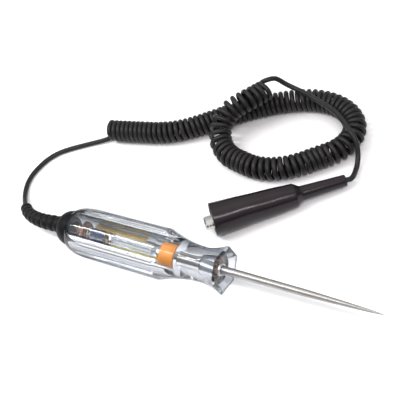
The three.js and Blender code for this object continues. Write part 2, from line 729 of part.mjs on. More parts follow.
const movingJaw = jawFront(1)
  .add(solid(slab(earOutline, -JAW_WIDTH / 2, -movingInner)))
  .add(solid(slab(earOutline, movingInner, JAW_WIDTH / 2)))
  .add(solid(slab(leverOutline, -JAW_WIDTH / 2, JAW_WIDTH / 2)))
  .subtract(pivotHole);
piece(clip, "clip_moving_jaw", movingJaw, nickel());

// Fixed jaw: wider ears outside the moving jaw's, a tail plate and a crimp round the lead.
const fixedOuter = JAW_WIDTH / 2 + EAR_GAP + JAW_SHEET;
const fixedEdge = JAW_LINE - GAP / 2;
const fixedFloor = fixedEdge - JAW_ROOT_H;
const fixedEar = [
  [FRONT_ROOT - 1, fixedFloor],
  [PIVOT_AT + 4, fixedFloor],
  [PIVOT_AT + 2.4, PIVOT_Z + 1.6],
  [PIVOT_AT - 2.4, PIVOT_Z + 1.6],
];
const crimpFloor = -WIRE_D / 2 - GAP - JAW_SHEET;
const tailPlate = [
  [FRONT_ROOT - 1, fixedFloor],
  [PIVOT_AT + 4, fixedFloor],
  [CRIMP_AT + 1, crimpFloor - 0.2],
  [CRIMP_AT + CRIMP_LENGTH, crimpFloor - 0.2],
  [CRIMP_AT + CRIMP_LENGTH, crimpFloor + 0.7],
  [CRIMP_AT + 1, crimpFloor + 0.7],
  [PIVOT_AT + 4, fixedFloor + JAW_SHEET],
  [FRONT_ROOT - 1, fixedFloor + JAW_SHEET],
];
const fixedJaw = jawFront(-1)
  .add(solid(slab(fixedEar, -fixedOuter, -fixedOuter + JAW_SHEET)))
  .add(solid(slab(fixedEar, fixedOuter - JAW_SHEET, fixedOuter)))
  .add(solid(slab(tailPlate.slice(0, 2).concat(tailPlate.slice(6)), -fixedOuter, fixedOuter)))
  .add(solid(slab(tailPlate, -JAW_WIDTH / 2, JAW_WIDTH / 2)))
  .add(solid(rod(CRIMP_AT, CRIMP_AT + CRIMP_LENGTH, WIRE_D + 2 * (GAP + JAW_SHEET), undefined, 16)))
  .subtract(solid(rod(CRIMP_AT - 1, CRIMP_AT + CRIMP_LENGTH + 1, WIRE_D + 2 * GAP, undefined, 16)))
  .subtract(solid(acrossPivot(PIVOT_D + 2 * GAP, -BOOT_MOUTH_D, BOOT_MOUTH_D)));
piece(clip, "clip_fixed_jaw", fixedJaw, nickel());

const pinHead = 0.5;
const pinReach = fixedOuter + GAP;
const pin = solid(acrossPivot(PIVOT_D, -pinReach - pinHead, pinReach + pinHead))
  .add(solid(acrossPivot(PIVOT_HEAD_D, -pinReach - pinHead, -pinReach)))
  .add(solid(acrossPivot(PIVOT_HEAD_D, pinReach, pinReach + pinHead)));
piece(clip, "clip_pivot_pin", pin, nickel());

// Torsion spring round the pin, between the moving jaw's ears.
const springHalf = movingInner - GAP - CLIP_SPRING_WIRE / 2;
const torsion = spring(2 * springHalf, CLIP_SPRING_D - CLIP_SPRING_WIRE, CLIP_SPRING_WIRE, 3, 6, 12);
piece(
  clip,
  "clip_spring",
  torsion.rotateZ(Math.PI / 2).translate(PIVOT_AT, -springHalf, PIVOT_Z),
  nickel(),
);

piece(
  clip,
  "clip_tail_lead",
  rod(CRIMP_AT - 0.5, BOOT_LENGTH - GAP, WIRE_D, WIRE_D, 12),
  blackVinyl(),
);

// The front lead ends square against the lead in the boot's neck.
clip.updateMatrixWorld(true);
const frontLeadEnd = [3, GAP].map((distance) =>
  new THREE.Vector3(BOOT_LENGTH + distance, 0, 0).applyMatrix4(clip.matrixWorld).toArray(),
);
piece(
  object,
  "front_lead",
  tube(curveThrough([...frontLeadRoute, ...frontLeadEnd]), WIRE_D, 8, 32),
  blackVinyl(),
);

export default object;
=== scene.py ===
"""Circuit test light: a clear fluted handle with a lamp in it, a steel probe, a curly lead and a clip."""

import functools
import logging
import math
from dataclasses import dataclass
from enum import Enum
from typing import Callable, Iterable, Sequence

import bmesh
import bpy
from mathutils import Matrix, Vector


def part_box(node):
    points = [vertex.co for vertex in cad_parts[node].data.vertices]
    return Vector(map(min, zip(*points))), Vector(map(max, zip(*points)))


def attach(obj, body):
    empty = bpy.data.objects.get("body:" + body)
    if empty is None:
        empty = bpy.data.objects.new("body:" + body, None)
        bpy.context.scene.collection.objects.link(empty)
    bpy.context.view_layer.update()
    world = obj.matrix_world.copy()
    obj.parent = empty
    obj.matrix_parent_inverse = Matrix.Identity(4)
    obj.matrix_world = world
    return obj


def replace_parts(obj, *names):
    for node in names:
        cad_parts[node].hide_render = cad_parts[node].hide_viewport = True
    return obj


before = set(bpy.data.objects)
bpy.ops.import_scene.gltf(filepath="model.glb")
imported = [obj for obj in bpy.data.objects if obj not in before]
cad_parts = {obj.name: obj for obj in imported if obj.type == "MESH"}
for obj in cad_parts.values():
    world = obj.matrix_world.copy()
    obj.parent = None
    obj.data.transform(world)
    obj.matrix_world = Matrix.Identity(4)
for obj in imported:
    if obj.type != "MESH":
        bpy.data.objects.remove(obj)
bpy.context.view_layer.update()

MM = 0.001
TURN = 2 * math.pi
UP = Vector((0, 0, 1))
LENGTHWISE = Vector((1, 0, 0))
CREASE = 38.0  # degrees; edges that turn more than this stay sharp on a turned piece
TUBE_CREASE = 60.0
REFINED_CREASE = 50.0
MERGE = 1e-7  # points closer than this are one point
REFINED_MERGE = 1e-6
TINY = 1e-12
FINE_DETAIL = 5.0  # octaves of a noise field
BROAD_DETAIL = 4.0
SPRING_STEPS = 28  # points to each turn of a spring

logging.basicConfig(level=logging.INFO, format="%(message)s")
LOG = logging.getLogger("test_light")

Colour = tuple[float, float, float]
Place = tuple[float, float, float]
Outline = list[tuple[float, float]]
Route = Sequence[Sequence[float]]


# ---------------------------------------------------------------- finishes


class Grain(Enum):
    """How a surface's fine marks run."""

    EVEN = (1.0, 1.0, 1.0)
    TURNED = (30.0, 1.0, 1.0)
    DRAWN = (1.0, 18.0, 18.0)


class ShaderSheet:
    """One material's node tree, with short calls for the nodes that the finishes share."""

    NOISE_LOW = 0.3
    NOISE_HIGH = 0.7

    def __init__(self, name: str) -> None:
        """Makes the material with its Principled shader.

        Args:
            name: The material's name.
        """
        self.material = bpy.data.materials.new(name)
        self.material.use_nodes = True
        self.tree = self.material.node_tree
        self.shader = self.tree.nodes["Principled BSDF"]
        self.output = self.tree.nodes["Material Output"]
        self.place = self.add("ShaderNodeTexCoord").outputs["Object"]

    def add(self, kind: str, **settings: object) -> bpy.types.Node:
        """Adds a node.

        Args:
            kind: The node's type name.
            settings: Properties of the node and their values.

        Returns:
            The new node.
        """
        node = self.tree.nodes.new(kind)
        for key, value in settings.items():
            setattr(node, key, value)
        return node

    def link(self, source: bpy.types.NodeSocket, target: bpy.types.NodeSocket) -> None:
        """Joins two sockets."""
        self.tree.links.new(source, target)

    def fix(self, **values: object) -> None:
        """Sets even values on the shader's own sockets, named with underscores for spaces."""
        for key, value in values.items():
            self.shader.inputs[key.replace("_", " ")].default_value = value

    def noise(self, size: float, grain: Grain = Grain.EVEN, detail: float = 3.0) -> bpy.types.NodeSocket:
        """Adds a noise field.

        Args:
            size: The size of its features, in metres.
            grain: How they are drawn out.
            detail: Its octaves.

        Returns:
            The socket with the field.
        """
        mapping = self.add("ShaderNodeMapping")
        mapping.inputs["Scale"].default_value = grain.value
        field_node = self.add("ShaderNodeTexNoise")
        field_node.inputs["Scale"].default_value = 1 / size
        field_node.inputs["Detail"].default_value = detail
        self.link(self.place, mapping.inputs["Vector"])
        self.link(mapping.outputs["Vector"], field_node.inputs["Vector"])
        return field_node.outputs["Fac"]

    def spread(self, source: bpy.types.NodeSocket, low: float, high: float) -> bpy.types.NodeSocket:
        """Maps a noise field's middle range to a range of values.

        Args:
            source: The field.
            low: The value where the field is NOISE_LOW.
            high: The value where the field is NOISE_HIGH.

        Returns:
            The socket with the values.
        """
        ramp = self.add("ShaderNodeMapRange")
        ends = {"From Min": self.NOISE_LOW, "From Max": self.NOISE_HIGH, "To Min": low, "To Max": high}
        for name, value in ends.items():
            ramp.inputs[name].default_value = value
        self.link(source, ramp.inputs["Value"])
        return ramp.outputs["Result"]

    def rub(self, source: bpy.types.NodeSocket, roughness: float, least: float, most: float) -> None:
        """Varies the roughness.

        Args:
            source: The noise field that it follows.
            roughness: Its middle value.
            least: The lowest value, as a share of the middle one.
            most: The highest value, as a share of the middle one.
        """
        self.link(self.spread(source, roughness * least, roughness * most), self.shader.inputs["Roughness"])

    def blend(self, factor: bpy.types.NodeSocket, first: Sequence[float], second: Sequence[float]) -> None:
        """Colours the shader with a blend of two colours.

        Args:
            factor: The share of the second colour.
            first: The first colour, linear.
            second: The second colour, linear.
        """
        mix = self.add("ShaderNodeMix", data_type="RGBA")
        for socket in mix.inputs:
            if socket.type == "RGBA":
                socket.default_value = (*(first if socket.name == "A" else second), 1)
        self.link(factor, mix.inputs[0])
        self.link(next(s for s in mix.outputs if s.type == "RGBA"), self.shader.inputs["Base Color"])

    def bump(self, height: bpy.types.NodeSocket, depth: float, strength: float = 1.0) -> None:
        """Gives the surface fine relief.

        Args:
            height: The relief's field.
            depth: Its full height, in metres.
            strength: The share of it that shows.
        """
        node = self.add("ShaderNodeBump")
        node.inputs["Distance"].default_value = depth
        node.inputs["Strength"].default_value = strength
        self.link(height, node.inputs["Height"])
        self.link(node.outputs["Normal"], self.shader.inputs["Normal"])

    def let_lamps_through(self, tint: Sequence[float]) -> None:
        """Lets light from the lamps reach what is behind clear material.

        Args:
            tint: The colour that the light takes.
        """
        rays = self.add("ShaderNodeLightPath")
        clear = self.add("ShaderNodeBsdfTransparent")
        clear.inputs["Color"].default_value = (*tint, 1)
        mix = self.add("ShaderNodeMixShader")
        self.link(rays.outputs["Is Shadow Ray"], mix.inputs["Fac"])
        self.link(self.shader.outputs["BSDF"], mix.inputs[1])
        self.link(clear.outputs["BSDF"], mix.inputs[2])
        self.link(mix.outputs["Shader"], self.output.inputs["Surface"])


@dataclass(frozen=True)
class Finish:
    """A surface finish. Each kind draws its own nodes once and shares the material after that."""

    name: str
    colour: Colour

    def material(self) -> bpy.types.Material:
        """Returns the finish's material, made on first use."""
        name = f"finish_{self.name}"
        return bpy.data.materials.get(name) or self.draw(ShaderSheet(name)).material

    def draw(self, sheet: ShaderSheet) -> ShaderSheet:
        """Draws the finish's nodes.

        Args:
            sheet: The new material's node tree.

        Returns:
            The same tree.
        """
        raise NotImplementedError


@dataclass(frozen=True)
class Clear(Finish):
    """Clear polished plastic or glass."""

    ior: float = 1.47
    roughness: float = 0.03
    ripple: float = 0.02 * MM
    ripple_size: float = 9 * MM
    passed: Colour = (0.9, 0.92, 0.95)
    # The edge colour is painted shade: it is painted where the surface turns away from view, in place of the
    # dark surroundings seen through the edges.
    edge: Colour = (0.30, 0.34, 0.40)
    edge_shade_blend: float = 0.5
    rub_size: float = 2.5 * MM
    rubbed: tuple[float, float] = (0.4, 1.6)

    def draw(self, sheet: ShaderSheet) -> ShaderSheet:
        """Draws a clear body with painted shade at its edges, the edge colour blended in by facing angle,
        with a slightly rippled, lightly rubbed surface.
        """
        sheet.fix(IOR=self.ior, Transmission_Weight=1.0)
        # Painted shade: the base colour turns toward the edge colour where the surface faces away from view.
        rim = sheet.add("ShaderNodeLayerWeight")
        rim.inputs["Blend"].default_value = self.edge_shade_blend
        sheet.blend(rim.outputs["Facing"], self.colour, self.edge)
        sheet.rub(sheet.noise(self.rub_size, detail=FINE_DETAIL), self.roughness, *self.rubbed)
        sheet.bump(sheet.noise(self.ripple_size, detail=1.0), self.ripple)
        sheet.let_lamps_through(self.passed)
        return sheet


@dataclass(frozen=True)
class Plated(Finish):
    """Metal with fine turning or drawing marks."""

    worn: Colour = (0.4, 0.38, 0.35)
    roughness: float = 0.28
    grain: Grain = Grain.TURNED
    mark: float = 0.6 * MM
    patch: float = 5 * MM
    mark_depth: float = 0.006 * MM
    mark_share: float = 0.5
    rubbed: tuple[float, float] = (0.75, 1.3)

    def draw(self, sheet: ShaderSheet) -> ShaderSheet:
        """Draws metal whose colour and gloss vary along the marks."""
        sheet.fix(Metallic=1.0)
        patches = sheet.spread(sheet.noise(self.patch, detail=BROAD_DETAIL), 0.0, 1.0)
        sheet.blend(patches, self.colour, self.worn)
        marks = sheet.noise(self.mark, self.grain)
        sheet.rub(marks, self.roughness, *self.rubbed)
        sheet.bump(marks, self.mark_depth, self.mark_share)
        return sheet


@dataclass(frozen=True)
class Moulded(Finish):
    """Moulded plastic, vinyl or rubber."""

    second: Colour = (0.02, 0.02, 0.02)
    roughness: float = 0.45
    grain_size: float = 0.35 * MM
    relief: float = 0.02 * MM
    gloss: float = 0.4
    swirl: float = 6 * MM
    relief_share: float = 0.6
    rubbed: tuple[float, float] = (0.8, 1.25)

    def draw(self, sheet: ShaderSheet) -> ShaderSheet:
        """Draws a moulded skin with faint colour swirls and a fine grain."""
        sheet.fix(Specular_IOR_Level=self.gloss)
        swirls = sheet.spread(sheet.noise(self.swirl, detail=BROAD_DETAIL), 0.0, 1.0)
        sheet.blend(swirls, self.colour, self.second)
        sheet.rub(sheet.noise(self.swirl / 3, detail=FINE_DETAIL), self.roughness, *self.rubbed)
        sheet.bump(sheet.noise(self.grain_size, detail=3.0), self.relief, self.relief_share)
        return sheet


@dataclass(frozen=True)
class Laminate(Finish):
    """Circuit board with copper tracks under the lacquer."""

    track: Colour = (0.78, 0.60, 0.10)
    pitch: float = 1.8 * MM
    wander: float = 2.5
    wander_scale: float = 1.5
    track_height: float = 0.04 * MM
    track_share: float = 0.5
    lacquer: float = 0.3

    def draw(self, sheet: ShaderSheet) -> ShaderSheet:
        """Draws lacquered laminate with tracks along the board."""
        sheet.fix(Roughness=self.lacquer)
        tracks = sheet.add("ShaderNodeTexWave", bands_direction="Y")
        tracks.inputs["Scale"].default_value = 1 / (self.pitch * TURN)
        tracks.inputs["Distortion"].default_value = self.wander
        tracks.inputs["Detail Scale"].default_value = self.wander_scale
        sheet.link(sheet.place, tracks.inputs["Vector"])
        sheet.blend(sheet.spread(tracks.outputs["Fac"], 0.0, 1.0), self.colour, self.track)
        sheet.bump(tracks.outputs["Fac"], self.track_height, self.track_share)
        return sheet


# The handle's dark blue-grey edge colour is painted shade along its edges.
CLEAR_HANDLE = Clear(
    "clear_acetate", (0.86, 0.88, 0.90), roughness=0.05, edge=(0.035, 0.05, 0.075), edge_shade_blend=0.74
)
# The lamp glass's pale grey edge colour paints a faint shade along its edges.
LAMP_GLASS = Clear(
    "lamp_glass", (1.0, 1.0, 1.0), ior=1.5, roughness=0.12, ripple=0.004 * MM, ripple_size=4 * MM,
    passed=(0.97, 0.98, 0.97), edge=(0.9, 0.92, 0.92), edge_shade_blend=0.3,
)
NICKEL = Plated("satin_nickel", (0.40, 0.385, 0.36), (0.30, 0.295, 0.29), 0.34)
LAMP_CAP = Plated("lamp_cap_plate", (0.80, 0.80, 0.80), (0.6, 0.6, 0.6), 0.22, mark=1.5 * MM)
PALE_BUSH = Plated("pale_bush", (0.62, 0.63, 0.66), (0.5, 0.51, 0.54), 0.34)
BRASS = Plated("pressed_brass", (0.95, 0.66, 0.18), (0.74, 0.46, 0.10), 0.3, Grain.DRAWN)
COPPER = Plated("bare_copper", (0.30, 0.13, 0.07), (0.06, 0.035, 0.025), 0.36)
SPRING_WIRE = Plated("spring_wire", (0.66, 0.65, 0.62), (0.40, 0.39, 0.37), 0.24)
CLIP_PLATE = Plated(
    "bright_clip_plate", (0.58, 0.57, 0.54), (0.36, 0.35, 0.33), 0.24, Grain.DRAWN, mark=0.9 * MM
)
TUNGSTEN = Plated("filament", (0.34, 0.33, 0.32), (0.2, 0.2, 0.2), 0.4, Grain.EVEN)
ORANGE = Moulded("orange_socket", (0.70, 0.20, 0.008), (0.66, 0.27, 0.015), 0.42, gloss=0.4)
BLUE_SLEEVE = Moulded("blue_sleeve", (0.004, 0.012, 0.04), (0.008, 0.02, 0.055), 0.4, gloss=0.2)
BOARD = Laminate("board_laminate", (0.62, 0.62, 0.04))
CAP_BLACK = Moulded(
    "satin_black_cap", (0.003, 0.003, 0.004), (0.005, 0.005, 0.006), 0.42,
    grain_size=0.5 * MM, relief=0.01 * MM, gloss=0.10,
)
RELIEF_BLACK = Moulded(
    "relief_rubber", (0.004, 0.0036, 0.0036), (0.006, 0.0052, 0.0052), 0.5,
    grain_size=0.4 * MM, relief=0.008 * MM, gloss=0.15,
)
LEAD_BLACK = Moulded(
    "lead_vinyl", (0.010, 0.0092, 0.0098), (0.015, 0.0135, 0.014), 0.40,
    grain_size=0.6 * MM, relief=0.012 * MM, gloss=0.25,
)
BOOT_BLACK = Moulded(
    "boot_vinyl", (0.006, 0.0028, 0.0045), (0.010, 0.005, 0.007), 0.21,
    grain_size=5 * MM, relief=0.05 * MM, gloss=0.32, swirl=12 * MM,
)
PALE_FLOOR = Moulded(
    "pale_floor", (0.92, 0.92, 0.92), (0.94, 0.94, 0.94), 0.7,
    grain_size=2 * MM, relief=0.01 * MM, gloss=0.2, swirl=80 * MM,
)


# ---------------------------------------------------------------- mesh work


def make_piece(
    name: str,
    verts: Iterable[Sequence[float]],
    faces: Iterable[Sequence[int]],
    finish: Finish,
    crease: float = CREASE,
) -> bpy.types.Object:
    """Makes a closed, smooth-shaded mesh object.

    Args:
        name: The piece's name.
        verts: Its points, in metres.
        faces: Its faces, as lists of point numbers.
        finish: Its finish.
        crease: Edges that turn more than this many degrees stay sharp.

    Returns:
        The new object, in the scene.
    """
    mesh = bpy.data.meshes.new(name)
    mesh.from_pydata([tuple(v) for v in verts], [], [tuple(f) for f in faces])
    work = bmesh.new()
    work.from_mesh(mesh)
    bmesh.ops.remove_doubles(work, verts=work.verts, dist=MERGE)
    bmesh.ops.recalc_face_normals(work, faces=work.faces)
    work.to_mesh(mesh)
    work.free()
    return dress(name, mesh, finish, crease)


def dress(name: str, mesh: bpy.types.Mesh, finish: Finish, crease: float) -> bpy.types.Object:
    """Puts a mesh in the scene as a smooth-shaded object with its finish."""
    mesh.polygons.foreach_set("use_smooth", [True] * len(mesh.polygons))
    mesh.set_sharp_from_angle(angle=math.radians(crease))
    mesh.materials.clear()
    mesh.materials.append(finish.material())
    piece = bpy.data.objects.new(name, mesh)
    bpy.context.scene.collection.objects.link(piece)
    return piece


def skin(rings: list[list[Vector]], looped: bool = False) -> tuple[list[Vector], list[list[int]]]:
    """Joins rings of points with faces.

    Args:
        rings: Rings that hold the same number of points.
        looped: True if the last ring joins the first, else both ends are closed with a face.

    Returns:
        The points and the faces.
    """
    count = len(rings[0])
    verts = [point for ring in rings for point in ring]
    faces = []
    for i in range(len(rings) if looped else len(rings) - 1):
        a, b = i * count, (i + 1) % len(rings) * count
        faces += [[a + j, a + (j + 1) % count, b + (j + 1) % count, b + j] for j in range(count)]
    if not looped:
        faces += [list(range(count))[::-1], [len(verts) - count + j for j in range(count)]]
    return verts, faces


def rounded(
    outline: Outline,
    radius: float,
    looped: bool = False,
    steps: int = 4,
    straight: float = 172.0,
    share: float = 0.45,
) -> Outline:
    """Rounds an outline's corners.

    Args:
        outline: Its corner points.
        radius: How far back from each corner the curve starts, at most.
        looped: True if the last point joins the first.
        steps: Points to each corner.
        straight: Corners wider than this many degrees stay as they are.
        share: The most of each side that a curve takes.

    Returns:
        The outline with its corners curved.
    """
    points = [Vector(p) for p in outline]
    count = len(points)
    result = []
    for i, corner in enumerate(points):
        if not looped and i in (0, count - 1):
            result.append(tuple(corner))
            continue
        back, on = points[i - 1] - corner, points[(i + 1) % count] - corner
        reach = min(radius, back.length * share, on.length * share)
        if reach < MERGE or back.angle(on) > math.radians(straight):
            result.append(tuple(corner))
            continue
        start, end = corner + back.normalized() * reach, corner + on.normalized() * reach
        for k in range(steps + 1):
            t = k / steps
            result.append(tuple(start * (1 - t) ** 2 + corner * 2 * t * (1 - t) + end * t * t))
    return result


def turned(
    name: str,
    outline: Outline,
    finish: Finish,
    looped: bool = False,
    segments: int = 64,
    crease: float = CREASE,
) -> bpy.types.Object:
    """Makes a turned piece about the tool's axis.

    Args:
        name: The piece's name.
        outline: Pairs of X and radius.
        finish: Its finish.
        looped: True for a ring, whose outline closes on itself.
        segments: Points to each circle.
        crease: Edges that turn more than this many degrees stay sharp.

    Returns:
        The piece.
    """
    height = Tool.axis_height()
    rings = [
        [
            Vector((x, r * math.sin(TURN * j / segments), height + r * math.cos(TURN * j / segments)))
            for j in range(segments)
        ]
        for x, r in outline
    ]
    return make_piece(name, *skin(rings, looped), finish, crease)


def frames_along(path: list[Vector], first: Vector) -> list[tuple[Vector, Vector, Vector]]:
    """Carries a pair of cross directions along a path without twist.

    Args:
        path: The path's points.
        first: The first cross direction wanted at the start.

    Returns:
        The direction along the path and the two across it, at each point.
    """
    frames = []
    last = None
    across = first
    for i in range(len(path)):
        along = (path[min(i + 1, len(path) - 1)] - path[max(i - 1, 0)]).normalized()
        if last is not None:
            across = last.rotation_difference(along) @ across
        across = (across - along * across.dot(along)).normalized()
        frames.append((along, across, along.cross(across)))
        last = along
    return frames


def lengths_along(path: list[Vector]) -> list[float]:
    """Returns the length of a path up to each of its points."""
    gone = [0.0]
    for a, b in zip(path, path[1:]):
        gone.append(gone[-1] + (b - a).length)
    return gone


def swept(
    name: str,
    path: list[Vector],
    radius: Callable[[float], float],
    finish: Finish,
    sides: int = 16,
) -> bpy.types.Object:
    """Makes a round tube along a path.

    Args:
        name: The piece's name.
        path: The points of its centre.
        radius: Its radius at a share of the path's length, from 0 to 1.
        finish: Its finish.
        sides: Points to each section.

    Returns:
        The piece.
    """
    gone = lengths_along(path)
    rings = []
    for centre, (_, across, beside), s in zip(path, frames_along(path, UP), gone):
        r = radius(s / gone[-1])
        rings.append([
            centre + (across * math.cos(TURN * j / sides) + beside * math.sin(TURN * j / sides)) * r
            for j in range(sides)
        ])
    return make_piece(name, *skin(rings), finish, TUBE_CREASE)


def smooth_route(points: Route, spacing: float, steps: int = 24) -> list[Vector]:
    """Runs a centripetal curve through points.

    Args:
        points: The points, in metres.
        spacing: The distance between the points that it gives.
        steps: Points to each stretch before they are spaced evenly.

    Returns:
        Evenly spaced points along the curve, with both ends.
    """
    knots = [Vector(p) for p in points]
    knots = [2 * knots[0] - knots[1], *knots, 2 * knots[-1] - knots[-2]]
    fine = []
    for p0, p1, p2, p3 in zip(knots, knots[1:], knots[2:], knots[3:]):
        d0, d1, d2 = (math.sqrt((b - a).length) for a, b in ((p0, p1), (p1, p2), (p2, p3)))
        m1 = ((p1 - p0) / d0 - (p2 - p0) / (d0 + d1) + (p2 - p1) / d1) * d1
        m2 = ((p2 - p1) / d1 - (p3 - p1) / (d1 + d2) + (p3 - p2) / d2) * d1
        for k in range(steps):
            t = k / steps
            h = t * t * (3 - 2 * t)
            fine.append(p1 * (1 - h) + p2 * h + m1 * t * (1 - t) ** 2 - m2 * t * t * (1 - t))
    fine.append(knots[-2])
    return evenly(fine, spacing)


def evenly(path: list[Vector], spacing: float) -> list[Vector]:
    """Spaces a path's points evenly, and keeps both ends."""
    gone = lengths_along(path)
    count = max(2, round(gone[-1] / spacing))
    result = []
    i = 0
    for k in range(count + 1):
        s = gone[-1] * k / count
        while i + 2 < len(gone) and gone[i + 1] < s:
            i += 1
        t = (s - gone[i]) / max(gone[i + 1] - gone[i], TINY)
        result.append(path[i].lerp(path[i + 1], min(1.0, t)))
    return result


def refined(node: str, name: str, finish: Finish, edge: float, crease: float = 30.0) -> bpy.types.Object:
    """Makes a CAD node's shape again with its flat faces whole and its edges broken.

    Args:
        node: The CAD node.
        name: The piece's name.
        finish: Its finish.
        edge: The width of the broken edges, in metres.
        crease: Only edges that turn more than this many degrees are broken.

    Returns:
        The piece, which replaces the node.
    """
    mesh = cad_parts[node].data.copy()
    mesh.name = name
    work = bmesh.new()
    work.from_mesh(mesh)
    bmesh.ops.remove_doubles(work, verts=work.verts, dist=REFINED_MERGE)
    flat = math.radians(1)
    bmesh.ops.dissolve_limit(work, angle_limit=flat, verts=work.verts, edges=work.edges)
    turn = math.radians(crease)
    sharp = [e for e in work.edges if len(e.link_faces) == 2 and e.calc_face_angle() > turn]
    bmesh.ops.bevel(
        work, geom=sharp, offset=edge, offset_type="OFFSET", segments=2, profile=0.6, affect="EDGES",
        clamp_overlap=True,
    )
    bmesh.ops.recalc_face_normals(work, faces=work.faces)
    work.to_mesh(mesh)
    work.free()
    piece = dress(name, mesh, finish, REFINED_CREASE)
    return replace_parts(piece, node)


def settle(piece: bpy.types.Object, body: str, slot: str, *nodes: str) -> bpy.types.Object:
    """Joins a piece to its CAD body.

    Args:
        piece: The piece.
        body: The body that it rides on.
        slot: A finish label, only logged.
        nodes: The CAD nodes that it stands for.

    Returns:
        The same piece.
    """
    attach(piece, body)
    if nodes:
        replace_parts(piece, *nodes)
    LOG.info("%-20s rides on %-5s in the finish %s", piece.name, body, slot)
    return piece


# ---------------------------------------------------------------- camera and light


@dataclass
class Studio:
    """A pale floor, soft lamps and the camera."""

    lens: float = 72.0
    azimuth: float = 42.506
    elevation: float = 45.589
    roll: float = 20.0
    place: Place = (0.18391, -0.18846, 0.32934)
    sensor: float = 36.0
    floor_size: float = 8.0
    floor_drop: float = 0.15 * MM
    nearest: float = 0.01
    farthest: float = 20.0
    middle: Place = (-0.01, 0.04, 0.01)
    strip_back: float = 0.55
    strip_rise: float = 0.12
    sky_strength: float = 1.1
    sky: Sequence[tuple[float, Colour]] = (
        (0.0, (0.10, 0.11, 0.13)),
        (0.15, (0.16, 0.18, 0.21)),
        (0.45, (0.70, 0.72, 0.75)),
        (0.8, (1.0, 1.0, 1.0)),
    )

    def directions(self) -> tuple[Vector, Vector, Vector]:
        """Returns the camera's right, up and forward directions."""
        a, e, roll = (math.radians(v) for v in (self.azimuth, self.elevation, self.roll))
        forward = Vector((-math.sin(a) * math.cos(e), math.cos(a) * math.cos(e), -math.sin(e)))
        level = Vector((math.cos(a), math.sin(a), 0))
        rise = level.cross(forward)
        right = level * math.cos(roll) - rise * math.sin(roll)
        return right, rise * math.cos(roll) + level * math.sin(roll), forward

    def add_camera(self) -> None:
        """Places the camera."""
        data = bpy.data.cameras.new("camera")
        data.sensor_width = self.sensor
        data.lens = self.lens
        data.clip_start = self.nearest
        data.clip_end = self.farthest
        camera = bpy.data.objects.new("camera", data)
        bpy.context.scene.collection.objects.link(camera)
        right, up, forward = self.directions()
        turn = Matrix((right, up, -forward)).transposed()
        camera.matrix_world = Matrix.Translation(self.place) @ turn.to_4x4()
        bpy.context.scene.camera = camera

    def add_lamp(
        self,
        name: str,
        place: Vector,
        target: Vector,
        size: tuple[float, float],
        power: float,
        colour: Colour = (1, 1, 1),
        along: Vector = UP,
    ) -> None:
        """Adds a rectangular soft lamp.

        Args:
            name: The lamp's name.
            place: Its centre.
            target: The point that it faces.
            size: Its width and height.
            power: Its power in watts.
            colour: Its colour.
            along: The direction that its width follows.
        """
        data = bpy.data.lights.new(name, "AREA")
        data.shape = "RECTANGLE"
        data.size, data.size_y = size
        data.energy = power
        data.color = colour
        lamp = bpy.data.objects.new(name, data)
        bpy.context.scene.collection.objects.link(lamp)
        back = (place - target).normalized()
        wide = (along - back * along.dot(back)).normalized()
        turn = Matrix((wide, back.cross(wide), back)).transposed()
        lamp.matrix_world = Matrix.Translation(place) @ turn.to_4x4()

    def add_lamps(self) -> None:
        """Places the lamps: a strip for the clip, one for the handle, a broad one above and one beside."""
        right, up, forward = self.directions()
        middle = Vector(self.middle)
        strip = middle - forward * self.strip_back + up * self.strip_rise
        self.add_lamp(
            "clip_strip", strip, middle, size=(0.3, 0.045), power=1.1, colour=(1.0, 0.90, 0.93), along=right
        )
        over_handle, handle = Vector((-0.30, -0.134, 0.486)), Vector((-0.04, 0, 0.014))
        self.add_lamp("handle_strip", over_handle, handle, size=(0.5, 0.03), power=1.9, along=LENGTHWISE)
        above = Vector((-0.15, 0.25, 0.9))
        self.add_lamp("top", above, middle, size=(0.9, 0.6), power=0.8, along=LENGTHWISE)
        left = Vector((-0.75, -0.45, 0.45))
        self.add_lamp("side", left, middle, size=(0.5, 0.35), power=0.4, colour=(0.94, 0.97, 1.0))

    def light_world(self) -> None:
        """Lights the surroundings, pale above and grey near the horizon."""
        world = bpy.data.worlds.new("studio")
        bpy.context.scene.world = world
        world.use_nodes = True
        tree = world.node_tree
        place = tree.nodes.new("ShaderNodeTexCoord")
        parts = tree.nodes.new("ShaderNodeSeparateXYZ")
        ramp = tree.nodes.new("ShaderNodeValToRGB")
        while len(ramp.color_ramp.elements) < len(self.sky):
            ramp.color_ramp.elements.new(0.5)
        for element, (at, colour) in zip(ramp.color_ramp.elements, self.sky):
            element.position = at
            element.color = (*colour, 1)
        tree.links.new(place.outputs["Generated"], parts.inputs["Vector"])
        tree.links.new(parts.outputs["Z"], ramp.inputs["Fac"])
        tree.links.new(ramp.outputs["Color"], tree.nodes["Background"].inputs["Color"])
        tree.nodes["Background"].inputs["Strength"].default_value = self.sky_strength

    def lay_floor(self) -> None:
        """Lays the floor just under the object."""
        half = self.floor_size / 2
        z = -self.floor_drop
        corners = [(-half, -half, z), (half, -half, z), (half, half, z), (-half, half, z)]
        floor = make_piece("floor", corners, [(0, 1, 2, 3)], PALE_FLOOR)

    def set_colours(self) -> None:
        """Shows the light as it is, with no film curve."""
        view = bpy.context.scene.view_settings
        view.view_transform = "Standard"
        view.look = "None"


# ---------------------------------------------------------------- lead


